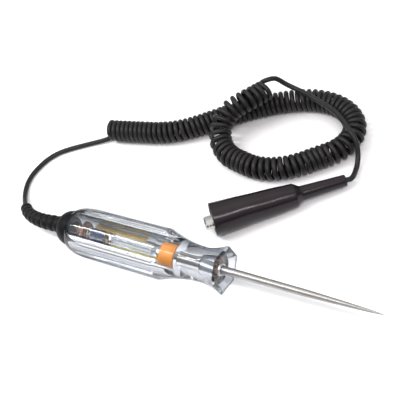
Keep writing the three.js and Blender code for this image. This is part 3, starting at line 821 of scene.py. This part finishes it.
@dataclass
class Lead:
    """The lead: straight at both ends and wound into a close curl between."""

    wire: float = 3.0 * MM
    curl_radius: float = 5.5 * MM
    ease_turns: float = 0.55
    points_per_turn: int = 20
    spread: float = 1.02
    start_turn: float = 135.0
    curl_step: float = 0.25 * MM
    bend_reach: int = 24
    most_bend: float = 0.08 / MM
    least_easing: float = 0.12
    route_step: float = 1.0 * MM
    join_reach: float = 9 * MM
    join_passes: int = 12
    rear: Route = (
        (-0.1348, 0.0106, 0.0059), (-0.1380, 0.0133, 0.0047), (-0.1416, 0.0169, 0.0033),
        (-0.1453, 0.0212, 0.0022), (-0.1484, 0.0262, 0.0017), (-0.1506, 0.0316, 0.0016),
        (-0.1515, 0.0380, 0.0016), (-0.1509, 0.0454, 0.0016), (-0.1490, 0.0524, 0.0016),
        (-0.1453, 0.0586, 0.0016), (-0.1396, 0.0639, 0.0016), (-0.1329, 0.0686, 0.0016),
        (-0.1264, 0.0729, 0.0016), (-0.1214, 0.0757, 0.0019), (-0.1170, 0.0774, 0.0030),
    )
    curl: Route = (
        (-0.1167, 0.0815, 0.00705), (-0.1110, 0.0823, 0.00705), (-0.1030, 0.0837, 0.00705),
        (-0.0950, 0.0851, 0.00705), (-0.0855, 0.0868, 0.00705), (-0.0765, 0.0893, 0.00705),
        (-0.0680, 0.0932, 0.00705), (-0.0610, 0.0981, 0.00705), (-0.0550, 0.1029, 0.00705),
        (-0.0496, 0.1076, 0.00705), (-0.0440, 0.1123, 0.00705), (-0.0365, 0.1179, 0.00705),
        (-0.0270, 0.1243, 0.00705), (-0.0175, 0.1295, 0.00705), (-0.0085, 0.1334, 0.00705),
        (0.0015, 0.1360, 0.00705), (0.0115, 0.1360, 0.00705), (0.0213, 0.1330, 0.00705),
        (0.0293, 0.1273, 0.00705), (0.0344, 0.1196, 0.00705), (0.0356, 0.1108, 0.00705),
        (0.0333, 0.1028, 0.00705), (0.0286, 0.0966, 0.00705), (0.0224, 0.0912, 0.00705),
        (0.0150, 0.0846, 0.00705), (0.0078, 0.0799, 0.00705), (-0.0002, 0.0768, 0.00705),
        (-0.0093, 0.0757, 0.00705), (-0.0184, 0.0774, 0.00705), (-0.0276, 0.0801, 0.00705),
        (-0.0348, 0.0851, 0.0078), (-0.0383, 0.0894, 0.0096), (-0.0399, 0.0936, 0.0120),
        (-0.0401, 0.0978, 0.0146), (-0.0387, 0.1018, 0.0173), (-0.0356, 0.1060, 0.0199),
        (-0.0294, 0.1119, 0.0219), (-0.0248, 0.1183, 0.0219), (-0.0211, 0.1258, 0.0216),
    )
    front: Route = (
        (-0.0209, 0.1264, 0.0271), (-0.0194, 0.1294, 0.0266), (-0.0180, 0.1320, 0.0243),
        (-0.0160, 0.1336, 0.0212), (-0.0129, 0.1343, 0.0184), (-0.0082, 0.1342, 0.0165),
        (-0.0020, 0.1324, 0.0161), (0.0051, 0.1293, 0.0161), (0.0113, 0.1266, 0.0160),
        (0.0183, 0.1232, 0.0160), (0.0250, 0.1187, 0.0162), (0.0303, 0.1139, 0.0164),
        (0.0347, 0.1099, 0.0162), (0.0384, 0.1067, 0.0153), (0.0408, 0.1046, 0.0133),
        (0.0424, 0.1026, 0.0103), (0.0434, 0.1004, 0.0071), (0.0442, 0.0972, 0.0042),
        (0.0448, 0.0928, 0.0027),
    )

    def turns(self) -> list[Vector]:
        """Winds the wire round the curl's centre line, closer where the line is straight.

        Returns:
            The wire's centre along the curl.
        """
        line = smooth_route(self.curl, self.curl_step)
        frames = frames_along(line, UP)
        step = sum((b - a).length for a, b in zip(line, line[1:])) / (len(line) - 1)
        reach = self.bend_reach
        ease = self.ease_turns * self.wire * self.spread
        phase = [0.0]
        for i in range(1, len(line)):
            before = frames[max(i - reach, 0)][0]
            after = frames[min(i + reach, len(line) - 1)][0]
            bend = before.angle(after, 0.0) / (2 * reach * step)
            pitch = self.wire * self.spread / (1 - self.curl_radius * min(bend, self.most_bend))
            near_end = min(i, len(line) - 1 - i) * step
            easing = min(1.0, self.least_easing + near_end / ease)
            phase.append(phase[-1] + TURN * step / pitch * easing)
        start = math.radians(self.start_turn)
        _, across, beside = frames[-1]
        top = math.atan2(UP.dot(beside), UP.dot(across))
        whole = round((phase[-1] + start - top) / TURN) * TURN + top - start
        stretch = whole / phase[-1]
        fine = []
        for centre, (_, across, beside), p in zip(line, frames, phase):
            angle = start + p * stretch
            fine.append(centre + (across * math.cos(angle) + beside * math.sin(angle)) * self.curl_radius)
        LOG.info("curl of %.1f turns", whole / TURN)
        return self.resampled(fine, whole / TURN)

    def resampled(self, path: list[Vector], turns: float) -> list[Vector]:
        """Spaces the wire's points evenly, a fixed number to each turn."""
        length = sum((b - a).length for a, b in zip(path, path[1:]))
        return evenly(path, length / (turns * self.points_per_turn))

    def path(self, neck: list[Vector]) -> list[Vector]:
        """Joins the rear lead, the curl and the front lead.

        Args:
            neck: The points that the lead follows into the boot's neck.

        Returns:
            The whole wire's centre.
        """
        rear = smooth_route(self.rear, self.route_step)
        front = smooth_route([*self.front, *neck], self.route_step)
        whole = rear[:-2] + self.turns() + front[2:]
        return self.relaxed(whole, rear[-3], front[2])

    def relaxed(self, path: list[Vector], *joins: Vector) -> list[Vector]:
        """Smooths the wire near the places where its stretches join.

        Args:
            path: The wire's centre.
            joins: The places.

        Returns:
            The same path, eased there.
        """
        result = [p.copy() for p in path]
        reach = self.join_reach
        for _ in range(self.join_passes):
            for i in range(1, len(result) - 1):
                near = min((result[i] - j).length for j in joins)
                if near < reach:
                    share = 0.5 * (1 - near / reach)
                    result[i] = result[i].lerp((result[i - 1] + result[i + 1]) / 2, share)
        return result

    def build(self, neck: list[Vector], on_it: Sequence[object]) -> bpy.types.Object:
        """Args:
            neck: The points that the lead follows into the boot's neck.
            on_it: The pieces on the lead; not used.

        Returns:
            The lead.
        """
        path = self.path(neck)
        piece = swept("lead", path, lambda _: self.wire / 2, LEAD_BLACK, 12)
        settle(piece, "tool", "lead_vinyl", "rear_lead", "curly_lead", "front_lead", "clip_tail_lead")
        return piece


# ---------------------------------------------------------------- tool


@functools.cache
def node_box(node: str) -> tuple[Vector, Vector]:
    """Returns a CAD node's box, read once."""
    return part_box(node)


@dataclass
class Tool:
    """Places on the tool's axis that its sub-assemblies share, read from the frame."""

    inside_turn: float = -20.0

    @staticmethod
    def axis_height() -> float:
        """Returns the height of the tool's axis."""
        low, high = node_box("probe")
        return (low.z + high.z) / 2

    @staticmethod
    def span(node: str) -> tuple[float, float, float]:
        """Returns a turned node's rear and front X and its largest radius."""
        low, high = node_box(node)
        return low.x, high.x, max(high.y, -low.y)

    def turn_inside(self, piece: bpy.types.Object) -> bpy.types.Object:
        """Turns a piece that was made upright about the tool's axis, as the lamp's holder is turned."""
        height = Vector((0, 0, self.axis_height()))
        spin = Matrix.Rotation(math.radians(self.inside_turn), 4, "X")
        piece.data.transform(Matrix.Translation(height) @ spin @ Matrix.Translation(-height))
        return piece


@dataclass
class Handle(Tool):
    """The clear handle."""

    body_radius: float = 14.0 * MM
    flute_depth: float = 1.3 * MM
    flute_half: float = 14.0
    flutes: int = 6
    lobe_tilt: float = -16.0
    flange_radius: float = 12.75 * MM
    flange_length: float = 1.4 * MM
    waist_radius: float = 9.25 * MM
    waist_at: float = 14.0 * MM
    shoulder_at: float = 36.5 * MM
    rear_radius: float = 10.6 * MM
    rear_round: float = 14.0 * MM
    recess_radius: float = 9.5 * MM
    recess_floor: float = 7.7 * MM
    recess_depth: float = 2.8 * MM
    seat_radius: float = 3.6 * MM
    seat_depth: float = 12.8 * MM
    hole_radius: float = 2.5 * MM
    chamber_at: float = 27.0 * MM
    chamber_gap: float = 0.3 * MM
    edge: float = 0.35 * MM
    section_points: int = 240
    nose_power: float = 1.8
    neck_power: float = 1.75
    rear_steps: int = 22
    neck_steps: int = 26
    nose_steps: int = 22
    face_overlap: float = 0.6 * MM
    crease: float = 32.0
    rear_rim: float = 0.8
    rim_start: float = 0.7
    rim_turn: float = 0.2
    rim_drop: float = 0.3

    def round_radius(self, back: float) -> float:
        """Returns the round handle's radius at a distance behind its nose."""
        if back <= self.flange_length:
            return self.flange_radius
        if back <= self.waist_at:
            t = (back - self.flange_length) / (self.waist_at - self.flange_length)
            return self.waist_radius + (self.flange_radius - self.waist_radius) * (1 - t) ** self.nose_power
        if back <= self.shoulder_at:
            t = (back - self.waist_at) / (self.shoulder_at - self.waist_at)
            return self.waist_radius + (self.body_radius - self.waist_radius) * t**self.neck_power
        low, high = node_box("handle_shell")
        t = max(0.0, (back - (high.x - low.x - self.rear_round)) / self.rear_round)
        return self.rear_radius + (self.body_radius - self.rear_radius) * math.sqrt(max(0.0, 1 - t * t))

    def radius(self, back: float, angle: float) -> float:
        """Returns the handle's radius.

        Args:
            back: The distance behind its nose.
            angle: The angle from the first lobe, in degrees.

        Returns:
            The radius, with flutes and the six-sided nose.
        """
        pitch = 360 / self.flutes
        off_flute = abs(angle % pitch - pitch / 2)
        across = min(1.0, off_flute / self.flute_half)
        dip = math.cos(math.pi / 2 * across) ** 2
        r = min(self.round_radius(back), self.body_radius - self.flute_depth * dip)
        flat = math.cos(math.pi / 6) / math.cos(math.radians(off_flute))
        hexagon = max(0.0, 1 - max(0.0, back - self.flange_length) / (self.waist_at - self.flange_length))
        return r * (1 - hexagon + hexagon * flat)

    def outside_stations(self, length: float) -> list[float]:
        """Returns the distances behind the nose at which the outside is drawn, rear face first."""
        rear = []
        for k in range(self.rear_steps + 1):
            t = 1 - k / self.rear_steps
            rear.append(length - self.rear_round * (1 - t * t))
        body = [length - self.rear_round - 1 * MM, self.shoulder_at + 1 * MM, self.shoulder_at + 0.3 * MM]
        fall = self.shoulder_at - self.waist_at
        neck = [self.shoulder_at - fall * k / self.neck_steps for k in range(self.neck_steps + 1)]
        rise = self.waist_at - self.flange_length
        nose = [self.waist_at - rise * k / self.nose_steps for k in range(1, self.nose_steps + 1)]
        return rear + body + neck + nose

    def build(self) -> None:
        """Makes the handle as one closed wall, outside and chamber."""
        low, high = node_box("handle_shell")
        nose, length = high.x, high.x - low.x
        chamber = self.chamber_radius()
        stations: list[tuple[float, Callable[[float], float]]] = []
        rim = self.edge
        stations.append((length, lambda a: self.radius(length, a) - rim))
        for back in self.outside_stations(length):
            stations.append((min(back, length - rim * self.rear_rim), lambda a, b=back: self.radius(b, a)))
        stations.append((rim * self.rim_start, lambda a: self.radius(0, a)))
        stations.append((rim * self.rim_turn, lambda a: self.radius(0, a) - rim * self.rim_drop))
        stations.append((0.0, lambda a: self.radius(0, a) - rim))
        inside = rounded(
            [
                (0.0, self.recess_radius + self.face_overlap),
                (0.0, self.recess_radius),
                (self.recess_depth, self.recess_floor),
                (self.recess_depth, self.seat_radius),
                (self.seat_depth, self.seat_radius),
                (self.seat_depth, self.hole_radius),
                (self.chamber_at, self.hole_radius),
                (self.chamber_at, chamber),
                (length, chamber),
                (length, chamber + self.face_overlap),
            ],
            self.edge,
        )
        stations += [(back, lambda _, r=r: r) for back, r in inside]
        height = self.axis_height()
        rings = []
        for back, radius in stations:
            ring = []
            for j in range(self.section_points):
                angle = 360 * j / self.section_points
                turn = math.radians(self.lobe_tilt - angle)
                r = radius(angle)
                ring.append(Vector((nose - back, r * math.sin(turn), height + r * math.cos(turn))))
            rings.append(ring)
        piece = make_piece("handle", *skin(rings, looped=True), CLEAR_HANDLE, self.crease)
        settle(piece, "tool", "clear_handle", "handle_shell")

    def chamber_radius(self) -> float:
        """Returns the chamber's radius, a gap more than the lamp socket in it."""
        low, high = node_box("lamp_socket")
        return (high.z - low.z) / 2 + self.chamber_gap


@dataclass
class Probe(Tool):
    """The steel probe and the bush that it passes through."""

    radius: float = 2.2 * MM
    taper_radius: float = 1.9 * MM
    point: float = 40.0 * MM
    point_power: float = 0.55
    head_length: float = 1.6 * MM
    edge: float = 0.2 * MM
    point_steps: int = 36
    crease: float = 30.0
    bush_gap: float = 0.3 * MM
    bush_edge: float = 0.35 * MM

    def outline(self) -> Outline:
        """Returns the probe's outline from its head to its point."""
        rear, tip, head = self.span("probe")
        nose = node_box("handle_shell")[1].x
        shank = [
            (rear, 0.0),
            (rear, head),
            (rear + self.head_length, head),
            (rear + self.head_length, self.radius),
            (nose, self.radius),
        ]
        start = tip - self.point
        steps = self.point_steps
        point = [
            (start + self.point * k / steps, self.taper_radius * (1 - k / steps) ** self.point_power)
            for k in range(steps)
        ]
        return rounded(shank, self.edge) + point + [(tip, 0.0)]

    def build(self) -> None:
        """Makes the probe and its bush."""
        rod = turned("probe_rod", self.outline(), NICKEL, crease=self.crease)
        settle(rod, "tool", "nickel_steel", "probe")
        rear, front, outer = self.span("probe_bush")
        bore = self.radius + self.bush_gap
        section = [(rear, bore), (rear, outer), (front, outer), (front, bore)]
        outline = rounded(section, self.bush_edge, looped=True)
        settle(turned("bush", outline, PALE_BUSH, looped=True), "tool", "pale_bush", "probe_bush")


@dataclass
class LampStack(Tool):
    """The lamp, its contacts, its holder and the spring that presses them together."""

    glass_wall: float = 0.7 * MM
    filament_turns: int = 44
    filament_radius: float = 0.32 * MM
    filament_wire: float = 0.075 * MM
    spring_wire: float = 0.4 * MM
    spring_turns: float = 5.0
    sleeve_bore: float = 4.6 * MM
    slot_half: float = 28.0
    tail_radius: float = 2.0 * MM
    tail_length: float = 5.0 * MM
    end_share: float = 0.14
    straight_share: float = 0.6
    filament_steps: int = 10
    button_face: float = 1.2 * MM
    button_neck: float = 2.0 * MM
    cup_neck: float = 2.1 * MM
    closed_share: float = 0.35
    even_share: float = 0.65
    glass_edge: float = 0.3 * MM
    cap_edge: float = 0.5 * MM
    cap_shape: Sequence[tuple[float, float]] = ((5.4, 1.0), (6, 0.93), (9, 0.42))
    cap_tip: float = 0.3
    button_edge: float = 0.2 * MM
    cup_edge: float = 0.25 * MM
    tail_edge: float = 0.3 * MM
    wire_edge: float = 0.2 * MM
    sleeve_edge: float = 0.35 * MM
    strip_edge: float = 0.12 * MM
    socket_edge: float = 0.3 * MM
    sleeve_steps: int = 72

    def build(self) -> None:
        """Makes every piece in the handle's chamber."""
        self.build_socket()
        self.build_lamp()
        self.build_contacts()
        self.build_sleeve()
        for node, name, finish, slot in (
            ("contact_strip", "strip", BRASS, "brass_contact"),
            ("circuit_board", "board", BOARD, "green_board"),
        ):
            settle(refined(node, name, finish, self.strip_edge), "tool", slot)

    def build_socket(self) -> None:
        """Makes the orange socket that the probe's head sits in."""
        piece = refined("lamp_socket", "socket", ORANGE, self.socket_edge)
        settle(piece, "tool", "orange_socket")

    def build_lamp(self) -> None:
        """Makes the lamp's glass, caps and filament."""
        rear, front, _ = self.span("lamp_glass")
        low, high = node_box("lamp_glass")
        outer = (high.z - low.z) / 2
        bore = outer - self.glass_wall
        section = [(rear, bore), (rear, outer), (front, outer), (front, bore)]
        tube = rounded(section, self.glass_edge, looped=True)
        settle(turned("glass_tube", tube, LAMP_GLASS, looped=True), "tool", "lamp_glass", "lamp_glass")
        for node, sign in (("lamp_front_cap", 1), ("lamp_rear_cap", -1)):
            rear, front, outer = self.span(node)
            base, tip = (rear, front) if sign > 0 else (front, rear)
            tenth = (tip - base) / 10
            dome = [(base + tenths * tenth, outer * share) for tenths, share in self.cap_shape]
            profile = [(base, 0.0), (base, outer), *dome, (tip, outer * self.cap_tip), (tip, 0.0)]
            piece = turned(f"{node}_cup", rounded(profile, self.cap_edge), LAMP_CAP)
            settle(piece, "tool", "nickel_steel", node)
        self.build_filament()

    def build_filament(self) -> None:
        """Makes the coiled filament on its two straight ends."""
        rear, front, _ = self.span("lamp_filament")
        height = self.axis_height()
        lead = (front - rear) * self.end_share
        coil = front - rear - 2 * lead
        path = [Vector((rear, 0, height)), Vector((rear + lead * self.straight_share, 0, height))]
        steps = self.filament_turns * self.filament_steps
        for k in range(steps + 1):
            angle = TURN * self.filament_turns * k / steps
            r = self.filament_radius
            x = rear + lead + coil * k / steps
            path.append(Vector((x, r * math.sin(angle), height + r * math.cos(angle))))
        path += [Vector((front - lead * self.straight_share, 0, height)), Vector((front, 0, height))]
        piece = swept("filament_coil", path, lambda _: self.filament_wire, TUNGSTEN, 6)
        settle(piece, "tool", "nickel_steel", "lamp_filament")

    def build_contacts(self) -> None:
        """Makes the front button, the rear cup, the spring and the wire's terminal."""
        rear, front, outer = self.span("front_contact")
        middle = (rear + front) / 2
        button = [
            (rear, 0.0),
            (rear, self.button_face),
            (middle, self.button_neck),
            (middle, outer),
            (front, outer),
            (front, 0.0),
        ]
        piece = turned("contact_button", rounded(button, self.button_edge), BRASS)
        settle(piece, "tool", "brass_contact", "front_contact")
        rear, front, outer = self.span("rear_contact")
        middle = (rear + front) / 2
        cup = [
            (rear, 0.0),
            (rear, self.cup_neck),
            (middle, self.cup_neck),
            (middle, outer),
            (front, outer),
            (front, 0.0),
        ]
        piece = turned("contact_cup", rounded(cup, self.cup_edge), BRASS)
        settle(piece, "tool", "brass_contact", "rear_contact")
        self.build_spring()
        rear, front, outer = self.span("wire_terminal")
        back = rear + self.tail_length
        disc = [
            (rear, 0.0),
            (rear, self.tail_radius),
            (back, self.tail_radius),
            (back, outer),
            (front, outer),
            (front, 0.0),
        ]
        piece = turned("terminal", rounded(disc, self.tail_edge), COPPER)
        settle(piece, "tool", "copper_terminal", "wire_terminal")
        rear, front, outer = self.span("inner_lead")
        wire = [(rear, 0.0), (rear, outer), (front, outer), (front, 0.0)]
        piece = turned("lead_end", rounded(wire, self.wire_edge), LEAD_BLACK, segments=32)
        settle(piece, "tool", "lead_vinyl", "inner_lead")

    def build_spring(self) -> None:
        """Makes the spring with closed end turns."""
        rear, front, outer = self.span("contact_spring")
        radius = outer - self.spring_wire
        height = self.axis_height()
        steps = int(self.spring_turns * SPRING_STEPS)
        path = []
        for k in range(steps + 1):
            t = k / steps
            climb = t * t * (3 - 2 * t) * self.closed_share + t * self.even_share
            x = rear + self.spring_wire + (front - rear - 2 * self.spring_wire) * climb
            angle = TURN * self.spring_turns * t
            path.append(Vector((x, radius * math.cos(angle), height + radius * math.sin(angle))))
        piece = swept("press_spring", path, lambda _: self.spring_wire, SPRING_WIRE, 12)
        settle(piece, "tool", "spring_steel", "contact_spring")

    def build_sleeve(self) -> None:
        """Makes the blue sleeve, open along its top where the strip passes."""
        low, high = node_box("insulating_sleeve")
        outer = (high.z - low.z) / 2
        height = self.axis_height()
        steps = self.sleeve_steps
        span = 360 - 2 * self.slot_half
        section = rounded(
            [(low.x, self.sleeve_bore), (low.x, outer), (high.x, outer), (high.x, self.sleeve_bore)],
            self.sleeve_edge,
            looped=True,
        )
        rings = []
        for j in range(steps + 1):
            angle = math.radians(self.slot_half + span * j / steps)
            rings.append([Vector((x, r * math.sin(angle), height + r * math.cos(angle))) for x, r in section])
        piece = self.turn_inside(make_piece("sleeve", *skin(rings), BLUE_SLEEVE))
        settle(piece, "tool", "blue_sleeve", "insulating_sleeve")


@dataclass
class EndCap(Tool):
    """The black cap that screws into the handle's rear."""

    rear_radius: float = 5.0 * MM
    hole_radius: float = 4.3 * MM
    spigot_radius: float = 6.6 * MM
    thread: float = 0.35 * MM
    thread_pitch: float = 1.0 * MM
    gap: float = 0.3 * MM
    face_edge: float = 0.15 * MM
    edge: float = 0.25 * MM
    dome_steps: int = 24
    segments: int = 96

    def build(self) -> None:
        """Makes the cap as one turned ring with a thread on its spigot."""
        rear, front, outer = self.span("end_cap")
        face = node_box("handle_shell")[0].x - self.gap
        dome = []
        for k in range(self.dome_steps + 1):
            turn = math.pi / 2 * (1 - k / self.dome_steps)
            r = self.rear_radius + (outer - self.rear_radius) * math.cos(turn)
            dome.append((face - (face - rear) * math.sin(turn), r))
        threads = []
        x = face + 0.5 * MM
        while x + self.thread_pitch < front:
            threads.append((x, self.spigot_radius - self.thread))
            threads.append((x + 0.5 * self.thread_pitch, self.spigot_radius))
            x += self.thread_pitch
        outline = (
            [(rear, self.hole_radius)]
            + dome
            + [(face, outer - self.face_edge), (face, self.spigot_radius - self.thread)]
            + threads
            + [(front, self.spigot_radius - self.thread), (front, self.hole_radius)]
        )
        outline = rounded(outline, self.edge, looped=True, steps=3)
        piece = turned("cap", outline, CAP_BLACK, looped=True, segments=self.segments)
        settle(piece, "cap", "black_cap", "end_cap")


@dataclass
class StrainRelief(Tool):
    """The ribbed relief that the lead leaves the cap through."""

    start_radius: float = 5.0 * MM
    end_radius: float = 3.4 * MM
    groove: float = 1.3 * MM
    ribs: int = 9
    gap: float = 0.3 * MM
    step: float = 0.22 * MM
    stem_radius: float = 4.0 * MM
    stem_edge: float = 0.4 * MM
    route: Route = (
        (-0.1020, 0.0, 0.0136), (-0.1100, 0.0004, 0.0124), (-0.1190, 0.0022, 0.0104),
        (-0.1275, 0.0056, 0.0081), (-0.1345, 0.0104, 0.0060),
    )

    def radius(self, share: float) -> float:
        """Returns the relief's radius at a share of its length, with its ribs."""
        body = self.start_radius + (self.end_radius - self.start_radius) * share
        phase = (share * self.ribs) % 1
        bulge = math.sqrt(max(0.0, 1 - (2 * phase - 1) ** 2))
        return body - self.groove * (1 - bulge)

    def build(self) -> bpy.types.Object:
        """Makes the relief and returns it."""
        cap_rear = node_box("end_cap")[0].x
        height = self.axis_height()
        start = [(cap_rear - self.gap, 0, height), (cap_rear - 2 * MM, 0, height)]
        path = smooth_route([*start, *self.route], self.step)
        piece = swept("relief", path, self.radius, RELIEF_BLACK, 48)
        return settle(piece, "tool", "relief_rubber", "strain_relief")

    def build_stem(self) -> bpy.types.Object:
        """Makes the relief's stem, which passes through the cap."""
        rear = node_box("end_cap")[0].x
        front = node_box("strain_relief")[1].x
        back = rear - 1 * MM
        outline = [(back, 0.0), (back, self.stem_radius), (front, self.stem_radius), (front, 0.0)]
        piece = turned("relief_stem", rounded(outline, self.stem_edge), RELIEF_BLACK)
        return settle(piece, "tool", "relief_rubber")


# ---------------------------------------------------------------- clip


@dataclass
class Clip:
    """The alligator clip in its soft boot."""

    mouth: Place = (-0.0140, 0.0313, 0.0098)
    azimuth: float = 41.1
    cone_length: float = 47.0 * MM
    mouth_radius: float = 9.75 * MM
    shoulder_radius: float = 6.75 * MM
    step_length: float = 3.5 * MM
    neck_radius: float = 4.2 * MM
    end_radius: float = 3.3 * MM
    neck_length: float = 25.7 * MM
    wall: float = 1.3 * MM
    neck_bore: float = 1.8 * MM
    dent: float = 0.16 * MM
    dent_length: float = 31 * MM
    dent_start: float = 0.8
    dent_twist: float = 90.0
    edge: float = 0.9 * MM
    jaw_edge: float = 0.1 * MM
    segments: int = 128
    cone_steps: int = 40
    neck_steps: int = 12
    crease: float = 50.0
    spring_coil: float = 1.65 * MM
    spring_wire: float = 0.3 * MM
    spring_half: float = 1.2 * MM
    spring_turns: int = 3
    pivot: tuple[float, float] = (28.0 * MM, -0.9 * MM)

    def placing(self) -> Matrix:
        """Returns the clip's place: X runs from its mouth to its neck, and Z up."""
        fall = math.asin((self.mouth_radius - self.shoulder_radius) / self.cone_length)
        turn = Matrix.Rotation(math.radians(self.azimuth), 4, "Z") @ Matrix.Rotation(fall, 4, "Y")
        return Matrix.Translation(self.mouth) @ turn

    def length(self) -> float:
        """Returns the boot's length."""
        return self.cone_length + self.step_length + self.neck_length

    def neck_points(self) -> list[Vector]:
        """Returns the points that the lead follows into the neck, up to the crimp."""
        place = self.placing()
        end = self.length()
        stations = (end + 3 * MM, end + 0.3 * MM, end - 8 * MM, 60 * MM, 50 * MM, 40 * MM)
        return [place @ Vector((x, 0, 0)) for x in stations]

    def boot_outline(self) -> Outline:
        """Returns the boot's outline, outside first, then back along its inside."""
        end_of_step = self.cone_length + self.step_length
        steps = self.cone_steps
        cone = []
        for k in range(steps + 1):
            t = k / steps
            r = self.mouth_radius + (self.shoulder_radius - self.mouth_radius) * t
            cone.append((self.cone_length * t, r))
        neck = [
            (end_of_step + self.neck_length * t, self.neck_radius + (self.end_radius - self.neck_radius) * t)
            for t in (k / self.neck_steps for k in range(self.neck_steps + 1))
        ]
        inside = [
            (self.length(), self.neck_bore),
            (end_of_step - 1 * MM, self.neck_bore),
            (self.cone_length - 1 * MM, self.shoulder_radius - self.wall),
            (0.0, self.mouth_radius - self.wall),
        ]
        return cone + neck + inside

    def build_boot(self) -> bpy.types.Object:
        """Makes the boot with soft edges and a slightly uneven skin."""
        outline = rounded(self.boot_outline(), self.edge, looped=True, steps=6)
        rings = []
        for x, r in outline:
            ring = []
            for j in range(self.segments):
                angle = TURN * j / self.segments
                across = math.sin(2 * angle + self.dent_twist * x)
                wave = across * math.sin(TURN * x / self.dent_length + self.dent_start)
                uneven = r - self.dent * (1 + wave) * min(1.0, r / self.mouth_radius) ** 2
                ring.append(Vector((x, uneven * math.sin(angle), uneven * math.cos(angle))))
            rings.append(ring)
        piece = make_piece("boot", *skin(rings, looped=True), BOOT_BLACK, self.crease)
        piece.data.transform(self.placing())
        return settle(piece, "tool", "boot_vinyl", "clip_boot")

    def build_spring(self) -> bpy.types.Object:
        """Makes the torsion spring round the pin."""
        steps = self.spring_turns * SPRING_STEPS
        path = []
        for k in range(steps + 1):
            t = k / steps
            angle = TURN * self.spring_turns * t
            path.append(Vector((
                self.pivot[0] + self.spring_coil * math.cos(angle),
                self.spring_half * (2 * t - 1),
                self.pivot[1] + self.spring_coil * math.sin(angle),
            )))
        place = self.placing()
        piece = swept("jaw_spring", [place @ p for p in path], lambda _: self.spring_wire, SPRING_WIRE, 10)
        return settle(piece, "tool", "spring_steel", "clip_spring")

    def build(self) -> list[bpy.types.Object]:
        """Makes the clip.

        Returns:
            Its pieces.
        """
        pieces = [self.build_boot(), self.build_spring()]
        for node, name, body in (
            ("clip_fixed_jaw", "lower_jaw", "tool"),
            ("clip_moving_jaw", "upper_jaw", "jaw"),
            ("clip_pivot_pin", "pivot_pin", "tool"),
        ):
            pieces.append(settle(refined(node, name, CLIP_PLATE, self.jaw_edge), body, "clip_steel"))
        return pieces


# ---------------------------------------------------------------- assembly


def main() -> None:
    """Builds the scene: camera, clip and lead first, then the tool, the floor and the lamps."""
    studio = Studio()
    studio.add_camera()
    studio.set_colours()
    clip = Clip()
    relief = StrainRelief()
    on_lead = [*clip.build(), relief.build(), relief.build_stem()]
    Lead().build(clip.neck_points(), on_lead)
    for assembly in (Handle(), Probe(), LampStack(), EndCap()):
        assembly.build()
    studio.lay_floor()
    studio.light_world()
    studio.add_lamps()


if __name__ == "__main__":
    main()
